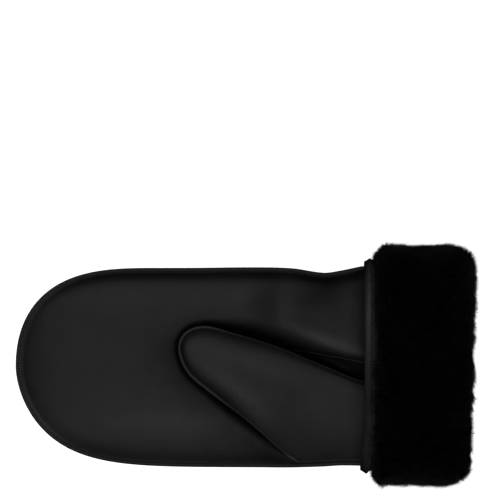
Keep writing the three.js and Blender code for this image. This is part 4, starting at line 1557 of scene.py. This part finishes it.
@dataclass
class ThumbLeather:
    """The thumb's two panels, its welt and its stitches.

    Attributes:
        form: Shape of the thumb.
        palette: The finishes.
        origin: Where the form's zero lies, in metres.
        columns: Columns of a panel's grid, from the cuff to the tip.
        rows: Its rows.
        stitched: Share of the edge that has stitches, from the cuff.
        edge_step: Distance between the points of the edge.
        welt_full: Size of the welt at the tip, as a share of its plain size.
    """

    form: ThumbForm
    palette: Palette
    origin: Vector
    columns: int = 150
    rows: int = 54
    stitched: float = 0.3
    edge_step: float = 0.7
    welt_full: float = 1.3

    def surface(self, upper: bool) -> Callable[[np.ndarray, np.ndarray], Sheet]:
        """Says how a panel's points are placed.

        Args:
            upper: Whether it is the upper panel.

        Returns:
            The function that places them.
        """
        form, hand = self.form, self.form.hand
        over_palm, on_seam = form.sides()

        def place(share: np.ndarray, v: np.ndarray) -> Sheet:
            u = np.sin(share * math.pi / 2)
            a, b = over_palm.at(u), on_seam.at(u)
            half = np.linalg.norm(a - b, axis=1) / 2
            tip = np.sin(math.pi / 2 * np.clip(half / form.tip_half_width, 0.0, 1.0))
            across = squared(np.cos(v * math.pi), hand.power)
            plan = a + (b - a) * ((1.0 - across) / 2)[:, None]
            x, y = plan[:, 0], plan[:, 1]
            from_edge = np.clip((1.0 - across) * half / form.roll_depth, 0.0, 1.0)
            roll = form.roll(u) * (1.0 - round_off(1.0 - from_edge, 2.0))
            seam = hand.plain_top(x, y) + form.lift(u, across) - roll
            plain = round_off(across, hand.power)
            full = tip * (plain * (1.0 - form.roundness) + (1.0 - across**2) * form.roundness)
            if upper:
                flatter = 1.0 - form.tip_flatter * smoothstep(u, 0.6, 0.95)
                high = form.loft * smoothstep(u, *form.swells) * flatter
                z = seam + high * full
                z = z + sum(fold.height(x, y) for fold in form.folds) * full
            else:
                hang = seam - form.seam_gap - form.drop * full
                z = np.maximum(hang, hand.top(x, y) + form.clearance)
            near = np.minimum((1.0 - across) * half, (1.0 + across) * half)
            # Painted shade near the cuff, along the thumb's seam-side edge towards its tip and along its edge over
            # the palm, with soft patches of painted shade and highlight; the edge itself is lighter, partly from
            # rubbing and partly as a painted highlight.
            side_shade = smoothstep(-(1.0 + across) * half, -13.0, -1.0) * smoothstep(u, 0.5, 0.75)
            edge_shade = smoothstep((1.0 - across) * half, 8.0, 1.0)
            shade_and_highlight = 0.4 * smoothstep(x - hand.hand_x, -10.0, 0.0) + 0.5 * side_shade + 0.4 * edge_shade
            shade_and_highlight = shade_and_highlight + sum(fold.height(x, y) for fold in form.painted_patches)
            return Sheet(np.column_stack([x, y, z]), 1.0 - smoothstep(near, 0.0, 1.2), shade_and_highlight)

        return place

    def panel(self, upper: bool, name: str, node: str) -> None:
        """Makes the upper or the under panel.

        Args:
            upper: Whether it is the upper one.
            name: Name of the piece.
            node: The solid that it stands for.
        """
        mesh = grid(self.columns, self.rows, self.surface(upper), self.origin)
        thicken(mesh, -self.form.hand.leather if upper else self.form.hand.leather)
        piece = as_object(name, mesh, self.palette.leather)
        if not upper:
            cut(piece, self.form.hand.hole_outline.points, self.origin)
        finish_piece(piece, [node])

    def edge_line(self, out_by: float) -> tuple[np.ndarray, np.ndarray]:
        """The thumb's edge from the cuff round the tip to where it meets the edge seam.

        Args:
            out_by: How far outside the leather edge the line runs.

        Returns:
            The line's points at the height of the thumb's seam, and the level way out at each.
        """
        form, hand = self.form, self.form.hand
        over_palm, on_seam = form.sides()
        points = []
        for curve, across in ((over_palm, 1.0), (on_seam, -1.0)):
            u = np.linspace(0.0, 1.0, 400)
            plan = curve.at(u)
            way = unit(np.gradient(plan, axis=0))
            out = np.column_stack([way[:, 1], -way[:, 0]]) * across
            roll = form.roll(u) if across > 0 else 0.0
            z = hand.plain_top(plan[:, 0], plan[:, 1]) + form.lift(u, np.full_like(u, across)) - roll
            points.append(np.column_stack([plan, z - form.seam_gap / 2, out]))
        both = np.vstack([points[0], points[1][::-1][1:]])
        both = both[both[:, 0] < hand.hand_x + 1.6]
        length = running_length(both[:, :2])
        even = read_at(np.linspace(0.0, length[-1], round(length[-1] / self.edge_step)), length, both)
        out = unit(even[:, 3:5])
        line = even[:, :3].copy()
        line[:, :2] += out * out_by
        return line, out

    def welt(self) -> None:
        """The thin rolled welt round the thumb."""
        form = self.form
        line, out = self.edge_line(0.0)
        swollen = smoothstep(-line[:, 0], *form.welt_swells)
        sizes = form.welt_thin + (self.welt_full - form.welt_thin) * swollen
        last = len(line) - 1

        def place(u: np.ndarray, v: np.ndarray) -> Sheet:
            index = np.rint(u * last).astype(int)
            angle = 2.0 * math.pi * v
            size = sizes[index]
            level = form.welt_width / 2 * squared(np.cos(angle), 2.3)
            upright = form.welt_height / 2 * squared(np.sin(angle), 2.3) * (0.4 + 0.6 * size)
            outward = size * (form.welt_shows - form.welt_width / 2 + level)
            plan = line[index, :2] + out[index] * outward[:, None]
            # The welt's outer side is lighter, partly from rubbing and partly as a painted highlight.
            return Sheet(np.column_stack([plan, line[index, 2] + upright]), smoothstep(level, -0.4, 0.9))

        mesh = grid(last, 16, place, self.origin)
        close_ends(mesh)
        piece = as_object("thumb_welt_leather", mesh, self.palette.trim)
        finish_piece(piece, ["thumb_welt"])

    def stitches(self, row: Stitching) -> None:
        """The row in the groove between the thumb's panel and its welt."""
        line, _ = self.edge_line(0.15)
        line = line[: round(len(line) * self.stitched)]
        line[:, 2] += self.form.welt_height / 2 + 0.05
        up = np.tile([0.0, 0.0, 1.0], (len(line), 1))
        piece = row.piece("thumb_stitches", [row.along(line, up)], self.palette.thread, self.origin)
        finish_piece(piece)

    def build(self) -> None:
        """Makes every piece of the thumb."""
        self.panel(True, "thumb_leather_upper", "thumb_upper_panel")
        self.panel(False, "thumb_leather_under", "thumb_under_panel")
        self.welt()
        self.stitches(Stitching(pitch=1.5, length=1.05, thick=0.34, slant=8.0))


@dataclass
class CuffBand:
    """The rolled band on the cuff's hem, puckered by its row of stitches.

    Attributes:
        form: Shape of the cuff.
        palette: The finishes.
        origin: Where the form's zero lies, in metres.
        around: Pieces round the hem.
        section: Pieces round the band's own section.
        pucker_pitch: From one pucker to the next.
        pucker_depth: Height of a pucker.
        thumb_side_nearer: How much less the band stands out on the thumb's side.
        start: Where it begins, past the hand's edge of the hem.
        shows: Its width.
        base: Its height between roll and flange, as a share of its thickness.
        outside: Share of the section's outline that lies outside.
        roll: Middle, half width and height of the roll.
        flange: The same of the flange.
        row_back: How far before the flange's middle the stitches run.
        row_height: Height of the stitches, as a share of the band's thickness.
        row: The stitches.
    """

    form: CuffForm
    palette: Palette
    origin: Vector
    around: int = 640
    section: int = 46
    pucker_pitch: float = 1.6
    thumb_side_nearer: float = 1.8
    start: float = 1.3
    shows: float = 9.0
    roll: tuple[float, float, float] = (2.75, 1.9, 0.86)
    flange: tuple[float, float, float] = (5.75, 0.5, 0.73)
    pucker_depth: float = 0.4
    base: float = 0.7
    outside: float = 0.8
    row_back: float = 0.9
    row_height: float = 0.72
    row: Stitching = Stitching(pitch=1.35, length=0.8, thick=0.6, slant=20.0)

    def outer(self, turn: np.ndarray, extra: np.ndarray) -> tuple[np.ndarray, np.ndarray]:
        """The oval that lies extra outside what the band closes round.

        Args:
            turn: Shares of a turn round it.
            extra: Distance outside at each.

        Returns:
            Across and up at each.
        """
        form = self.form
        thumb_side = smoothstep(-np.cos(2.0 * math.pi * turn), -0.3, 0.3)
        wide = form.body_half_wide - self.thumb_side_nearer * thumb_side
        y, z = form.oval(turn, wide + extra, form.body_half_high + extra, form.hand.power)
        return form.hand.shift + y, form.hand.mid_height + z

    def length_share(self) -> tuple[np.ndarray, np.ndarray]:
        """Shares of a turn that are evenly spaced along the oval, and its length."""
        turn = np.linspace(0.0, 1.0, 4001)
        y, z = self.outer(turn, np.full_like(turn, self.form.band_thickness))
        length = running_length(np.stack([y, z], axis=-1))
        return np.interp(np.linspace(0.0, length[-1], self.around + 1), length, turn), length[-1]

    def profile(self, share: np.ndarray) -> tuple[np.ndarray, np.ndarray]:
        """The band's section.

        Args:
            share: Shares of the way once round it, over the outside and back along the inside.

        Returns:
            Millimetres along X and a share of the band's thickness at each.
        """
        over = np.clip(share / self.outside, 0.0, 1.0)
        under = 1.0 - (share - self.outside) / (1.0 - self.outside)
        x = self.shows * np.where(share <= self.outside, over, under)
        high = np.full_like(x, self.base)
        for middle, half, top in (self.roll, self.flange):
            rise = round_off(np.clip((x - middle) / half, -1.0, 1.0), 2.2)
            high = np.maximum(high, self.base + (top - self.base) * rise)
        return x, np.where(share <= self.outside, high, 0.0)

    def build(self) -> None:
        """Makes the band and its stitches."""
        form, hand = self.form, self.form.hand
        turns, length = self.length_share()
        puckers = round(length / self.pucker_pitch)

        def place(u: np.ndarray, v: np.ndarray) -> Sheet:
            turn = np.interp(u * self.around, np.arange(self.around + 1), turns)
            x, high = self.profile(np.where(v > AT_END, 0.0, v))
            phase = 2.0 * math.pi * puckers * np.where(u > AT_END, 0.0, u)
            near_groove = bump_at(x, self.roll[0] + 1.0, 1.2) * (high > 0)
            draw = self.pucker_depth * near_groove * np.sin(phase + 1.6 * x)
            sway = 0.12 * waves(turn * 40.0, turn * 0.0, turn * 0.0, 9.0, 5) * (high > 0)
            y, z = self.outer(turn, form.band_thickness * (high + draw) + sway * high)
            points = np.column_stack([hand.hand_x + self.start + x - form.bowed(y), y, z])
            # Painted highlight on the roll's crest, strongest towards the little finger's side and fading towards
            # the oval's sides, painted highlight on the pucker crests and along the stitch row, and a little painted
            # shade elsewhere.
            roll_sheen = 1.0 - 0.8 * smoothstep(np.abs(y - hand.shift), 34.0, 60.0)
            roll_sheen = roll_sheen * (0.7 + 0.9 * bump_at(y, 28.0, 15.0))
            rub_and_sheen = (bump_at(x, self.roll[0], 1.0) * 0.4 + np.maximum(0.0, draw) * 1.5) * roll_sheen
            shade_and_highlight = 0.35 - 1.5 * bump_at(y, 26.0, 24.0) * bump_at(x, self.roll[0] + 0.5, 1.3)
            return Sheet(points, rub_and_sheen, shade_and_highlight - 0.7 * bump_at(x, self.flange[0] - self.row_back, 0.6))

        mesh = grid(self.around, self.section, place, self.origin)
        close_ends(mesh)
        piece = as_object("cuff_band_leather", mesh, self.palette.band)
        finish_piece(piece, ["cuff_band"])

        turn = np.linspace(0.0, 1.0, 1600)
        y, z = self.outer(turn, np.full_like(turn, form.band_thickness * self.row_height))
        x = hand.hand_x + self.start + self.flange[0] - self.row_back - form.bowed(y)
        line = np.column_stack([x, y, z])
        up = np.column_stack([np.zeros_like(turn), y - hand.shift, (z - hand.mid_height) * 4.0])
        placed = self.row.along(line, up, closed=True)
        stitches = self.row.piece("band_stitches", [placed], self.palette.thread, self.origin)
        finish_piece(stitches)


class Zone(Enum):
    """Parts of the fur, each an object of its own."""

    TOP = "top"
    UNDER = "under"
    MOUTH = "mouth"
    LINING = "lining"


@dataclass
class FurCuff:
    """The turned-back cuff: a dark lumpy pile with strands of fur all over it.

    Attributes:
        form: Shape of the cuff.
        palette: The finishes.
        origin: Where the form's zero lies, in metres.
        sink: How far the pile lies under the reach of the strands.
        strand: Length of a strand.
        thick: Thickness at its root.
        lie: How far a strand leans.
        long_share: Share of the strands that are long.
        long_lie: How much more those lean.
        long_length: How much longer they are.
        long_thick: How much thicker they are.
        rest_height: Height near the table below which strands are pressed together.
        rim_light_fade: Distance from the cuff's outline over which the painted rim light on the strands fades.
        counts: Strands in each zone.
    """

    form: CuffForm
    palette: Palette
    origin: Vector
    around: int = 220
    sink: float = 3.4
    hem_back: float = 3.5
    lump: float = 0.5
    strand: float = 4.9
    thick: float = 0.3
    lie: float = 0.85
    long_share: float = 0.05
    long_lie: float = 2.0
    long_length: float = 1.6
    long_thick: float = 1.1
    rest_height: float = 0.6
    rim_light_fade: float = 5.0
    counts: dict[Zone, int] = field(
        default_factory=lambda: {Zone.TOP: 46000, Zone.UNDER: 34000, Zone.MOUTH: 34000, Zone.LINING: 16000}
    )

    def stations(self) -> list[tuple[str, float, float, float, float]]:
        """The section as a closed row: the kind of station, x past the hem, and what shapes it there."""
        form, hand = self.form, self.form.hand
        rows: list[tuple[str, float, float, float, float]] = []

        def fillet(centre: float, radius: float, start: float, stop: float, steps: int) -> None:
            for turn in np.linspace(start, stop, steps + 1):
                x, sink = centre + radius * math.cos(turn), radius * (1.0 - math.sin(turn))
                rows.append(("outer", x, sink, 0.0, 0.0))

        flat = hand.cuff_length - form.mouth_fillet
        fillet(form.hem_fillet, form.hem_fillet, math.pi, math.pi / 2, 6)
        rows.extend(("outer", x, 0.0, 0.0, 0.0) for x in np.linspace(form.hem_fillet, flat, 24)[1:-1])
        fillet(flat, form.mouth_fillet, math.pi / 2, 0.0, 14)
        lip = form.mouth_fillet / 4
        wide, high = form.mouth_width / 2, form.mouth_height / 2
        rows.append(("inner", hand.cuff_length - hand.gap, wide + lip, high + lip, 0.0))
        for share in np.linspace(0.0, 1.0, 12):
            x = hand.cuff_length - 2 * lip + share * (hand.pocket - hand.cuff_length + 2 * lip)
            rows.append(("inner", x, wide, high, hand.shift * share))
        wide, high = form.body_half_wide + hand.gap, form.body_half_high + hand.gap
        rows.extend(("inner", x, wide, high, hand.shift) for x in (hand.pocket, self.hem_back))
        return rows

    def rings(self, turn: np.ndarray) -> np.ndarray:
        """Points of the pile's surface.

        Args:
            turn: Shares of a turn round it.

        Returns:
            The points, station by station.
        """
        form = self.form
        out = []
        for kind, x, first, second, shift in self.stations():
            if kind == "outer":
                sink = first + self.sink
                past = max(0.0, (x - form.mouth_fillet) / form.hand.cuff_length)
                depth = x + self.sink * (0.35 - past**3 * 1.5)
                depth += self.hem_back * (1.0 - float(smoothstep(np.array(x), 0.0, 14.0)))
                wide, high = form.width / 2 - sink, form.height / 2 + form.squash - sink
                y, z = form.oval(turn, wide, high, form.power)
                nearer = form.bowed(y) * (1.0 - float(smoothstep(np.array(x), 5.0, 30.0)))
                out.append(form.point(min(depth, form.hand.cuff_length - self.sink) - nearer, y, z, 0.0))
            else:
                grow = 1.2 if x > form.hand.pocket + 0.1 else 0.0
                y, z = form.oval(turn, first + grow, second + grow, form.hand.power)
                out.append(form.point(min(x, form.hand.cuff_length - self.sink), y, z, shift))
        return np.array(out)

    def pile(self) -> np.ndarray:
        """The dark body under the strands. Returns its rings for the strands to stand on."""
        turn = np.linspace(0.0, 1.0, self.around + 1)
        turn[-1] = 0.0
        rings = self.rings(turn)
        centre = unit(self.normals(rings))
        outer = np.array([kind == "outer" for kind, *_ in self.stations()])
        lumps = waves(rings[..., 0], rings[..., 1], rings[..., 2], 11.0, 3) * outer[:, None] * self.lump
        rings = rings + centre * lumps[..., None]
        rings[..., 2] = np.maximum(rings[..., 2], 0.05)
        rings[:, -1] = rings[:, 0]
        count = len(rings)

        def place(u: np.ndarray, v: np.ndarray) -> Sheet:
            around = np.rint(u * self.around).astype(int)
            station = np.rint(v * count).astype(int) % count
            return Sheet(rings[station, around], np.zeros(len(u)))

        mesh = grid(self.around, count, place, self.origin)
        close_ends(mesh)
        piece = as_object("cuff_pile", mesh, self.palette.hide)
        finish_piece(piece, ["cuff_fur"])
        return rings

    def normals(self, rings: np.ndarray) -> np.ndarray:
        """Way out of the surface at each point of the rings."""
        along = np.gradient(rings, axis=0)
        looped = np.concatenate([rings[:, -2:-1], rings, rings[:, 1:2]], axis=1)
        around = looped[:, 2:] - looped[:, :-2]
        return np.cross(around, along)

    def zone_weights(self, rings: np.ndarray, zone: Zone) -> np.ndarray:
        """How much fur each quad of the rings takes.

        Args:
            rings: Points of the pile's surface.
            zone: The part of the fur.

        Returns:
            The quad's area in the zone, and 0 outside it.
        """
        kinds = [kind for kind, *_ in self.stations()]
        x = np.array([row[1] for row in self.stations()])
        a, b, c, d = rings[:-1, :-1], rings[1:, :-1], rings[1:, 1:], rings[:-1, 1:]
        area = 0.5 * np.linalg.norm(np.cross(c - a, d - b), axis=-1)
        middle = (a + b + c + d) / 4
        outer = np.array([kinds[k] == "outer" and kinds[k + 1] == "outer" for k in range(len(kinds) - 1)])
        lips = x[:-1] > self.form.hand.cuff_length - self.form.mouth_fillet * 0.75
        furry = np.array([k < len(kinds) - 3 for k in range(len(kinds) - 1)])
        mouth = lips & furry
        if zone is Zone.MOUTH:
            pick = mouth[:, None]
        elif zone is Zone.LINING:
            pick = (furry & ~outer & ~mouth)[:, None]
        else:
            high = middle[..., 2] > self.form.hand.mid_height
            pick = (outer & ~mouth)[:, None] & (high if zone is Zone.TOP else ~high)
        return area * pick

    def strands(self, rings: np.ndarray, zone: Zone, draw: np.random.Generator) -> None:
        """Makes the strands of one zone.

        Args:
            rings: Points of the pile's surface, on which they stand.
            zone: The part of the fur.
            draw: The seeded source of what varies from strand to strand.
        """
        weights = self.zone_weights(rings, zone)
        count = self.counts[zone]
        chosen = draw.choice(weights.size, size=count, p=(weights / weights.sum()).reshape(-1))
        k, i = np.divmod(chosen, weights.shape[1])
        s, t = draw.random((2, count, 1))
        a, b, c, d = rings[k, i], rings[k + 1, i], rings[k + 1, i + 1], rings[k, i + 1]
        root = (a * (1 - s) + b * s) * (1 - t) + (d * (1 - s) + c * s) * t
        out = unit(self.normals(rings))
        normal = unit(out[k, i] * (1 - s) + out[k + 1, i] * s)
        x, y, z = root[:, 0], root[:, 1], root[:, 2]
        flow = np.stack(
            [
                0.25 * (1.0 - 2.0 * (zone is Zone.MOUTH)) + 0.45 * waves(x, y, z, 40.0, 11),
                -0.35 + 0.6 * waves(x, y, z, 36.0, 12),
                0.5 * waves(x, y, z, 38.0, 13),
            ],
            axis=-1,
        )
        clump = np.stack([waves(x, y, z, 6.0, seed) for seed in (21, 22, 23)], axis=-1) * 0.12
        lean = flow + clump + draw.normal(size=(count, 3)) * 0.16
        lean -= normal * np.sum(lean * normal, axis=1, keepdims=True)
        long = draw.random((count, 1)) < self.long_share
        lean *= np.where(long, self.lie * self.long_lie, self.lie)
        way = unit(normal + lean)
        length = self.strand * draw.uniform(0.6, 1.0, size=(count, 1))
        length = length * (1.0 + 0.08 * waves(x, y, z, 8.0, 31)[:, None])
        length = length * np.where(long, self.long_length, 1.0)
        if zone is Zone.LINING:
            length = length * 0.6
        droop = lean * 0.35 + draw.normal(size=(count, 3)) * 0.12
        shape = self.unit_shape()
        local = np.array([vert.co[:] for vert in shape.verts])
        side = unit(np.cross(way, draw.normal(size=(count, 3))))
        other = np.cross(way, side)
        up = local[None, :, 2:3]
        thick = self.thick * draw.uniform(0.8, 1.2, size=(count, 1, 1))
        thick = thick * np.where(long, self.long_thick, 1.0)[:, None]
        placed = (
            root[:, None, :]
            + up * length[:, None, :] * way[:, None, :]
            + up**2 * length[:, None, :] * droop[:, None, :]
            + local[None, :, 0:1] * thick * side[:, None, :]
            + local[None, :, 1:2] * thick * other[:, None, :]
        )
        height = placed[..., 2]
        pressed = 0.1 + 0.5 * np.exp((height - self.rest_height) / 3.0)
        placed[..., 2] = np.where(height < self.rest_height, pressed, height)
        from_hem = x - self.form.hand.hem_x
        from_mouth = self.form.hand.cuff_length - from_hem - 3.0
        from_side = self.form.width / 2 - 4.0 - np.abs(y)
        edge = np.maximum(0.0, np.minimum(np.minimum(from_hem, from_mouth), from_side))
        # Strands near the cuff's outline are lighter as a painted rim light; a few strands at random and the long
        # ones are lighter too.
        light = 0.008 + 0.3 * draw.random((count, 1)) ** 8 + 0.65 * np.exp(-edge / self.rim_light_fade)[:, None]
        light = light + long * draw.random((count, 1)) ** 2 * 0.9
        rub_and_sheen = np.broadcast_to(0.3 + 0.7 * up[..., 0], placed.shape[:2]) * light
        data = repeated("fur_" + zone.value, shape, placed * MM + np.array(self.origin), rub_and_sheen)
        piece = as_object("fur_" + zone.value, data, self.palette.fur)
        finish_piece(piece)

    def unit_shape(self) -> bmesh.types.BMesh:
        """One strand of length 1 up Z: a three-sided spike."""
        mesh = bmesh.new()
        bmesh.ops.create_cone(mesh, cap_ends=True, segments=3, radius1=0.5, radius2=0.0, depth=1.0)
        bmesh.ops.translate(mesh, verts=mesh.verts, vec=(0.0, 0.0, 0.5))
        bmesh.ops.recalc_face_normals(mesh, faces=mesh.faces)
        mesh.verts.index_update()
        return mesh

    def build(self) -> None:
        """Makes the pile and the strands of every zone."""
        rings = self.pile()
        draw = np.random.default_rng(7)
        for zone in Zone:
            self.strands(rings, zone, draw)


@dataclass(frozen=True)
class Softbox:
    """A flat soft light that faces down.

    Attributes:
        name: Name of the light.
        place: Where it hangs.
        size: Its sizes along X and Y.
        power: Its strength in watts.
    """

    name: str
    place: tuple[float, float, float]
    size: tuple[float, float]
    power: float

    def build(self) -> None:
        """Hangs the light."""
        light = bpy.data.lights.new(self.name, "AREA")
        light.shape = "RECTANGLE"
        light.size, light.size_y = self.size
        light.energy = self.power
        lamp = bpy.data.objects.new(self.name, light)
        lamp.location = self.place
        bpy.context.scene.collection.objects.link(lamp)


@dataclass
class Studio:
    """A pale table, soft lights overhead and the camera straight above.

    Attributes:
        centre: The point of the table in the middle of the picture, in metres.
        view_width: Width of the table that the picture shows.
        camera_height: Height of the lens.
        focus_height: Height at which the picture has that width.
        table_size: Length of each side of the table.
        room_light: Strength of the room's even light.
        lights: The lights overhead.
    """

    centre: tuple[float, float] = (0.00284, 0.07015)
    view_width: float = 0.305
    camera_height: float = 4.0
    focus_height: float = 0.022
    table_size: float = 6.0
    room_light: float = 0.04
    lights: tuple[Softbox, ...] = (
        Softbox("overhead", (-0.25, -0.3, 1.5), (2.9, 4.6), 24.5),
        Softbox("near_strip", (-0.2, -0.66, 1.45), (2.6, 0.6), 3.0),
        Softbox("far_strip", (-0.2, 0.88, 1.45), (2.6, 0.6), 2.1),
    )

    def camera(self) -> None:
        """A long lens that looks straight down."""
        lens = bpy.data.cameras.new("camera")
        lens.lens = lens.sensor_width * (self.camera_height - self.focus_height) / self.view_width
        lens.clip_end = 50.0
        camera = bpy.data.objects.new("camera", lens)
        camera.location = (*self.centre, self.camera_height)
        bpy.context.scene.collection.objects.link(camera)
        bpy.context.scene.camera = camera

    def table(self) -> None:
        """The table that the mitten lies on."""
        mesh = bmesh.new()
        bmesh.ops.create_grid(mesh, x_segments=1, y_segments=1, size=self.table_size / 2)
        bmesh.ops.translate(mesh, verts=mesh.verts, vec=(0.0, 0.0, -0.0002))
        table = as_object("table", mesh, FloorFinish().material())
        table.visible_glossy = False
        table.visible_diffuse = False

    def world(self) -> None:
        """A dim even room."""
        world = bpy.data.worlds.new("room")
        world.use_nodes = True
        background = world.node_tree.nodes["Background"]
        background.inputs["Color"].default_value = (1.0, 1.0, 1.0, 1.0)
        background.inputs["Strength"].default_value = self.room_light
        bpy.context.scene.world = world

    def build(self) -> None:
        """Sets up the camera, the table and the lights."""
        self.camera()
        self.table()
        for light in self.lights:
            light.build()
        self.world()
        bpy.context.scene.view_settings.view_transform = "Standard"


def main() -> None:
    """Builds the mitten and its studio."""
    logging.basicConfig(level=logging.INFO, format="%(name)s: %(message)s")
    Studio().build()
    hand = HandForm()
    origin = Vector((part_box("cuff_band")[0].x - hand.hand_x * MM, 0.0, 0.0))
    palette = Palette.build()
    HandLeather(hand, palette, origin).build()
    ThumbLeather(ThumbForm(hand), palette, origin).build()
    cuff = CuffForm(hand)
    CuffBand(cuff, palette, origin).build()
    FurCuff(cuff, palette, origin).build()


if __name__ == "__main__":
    main()
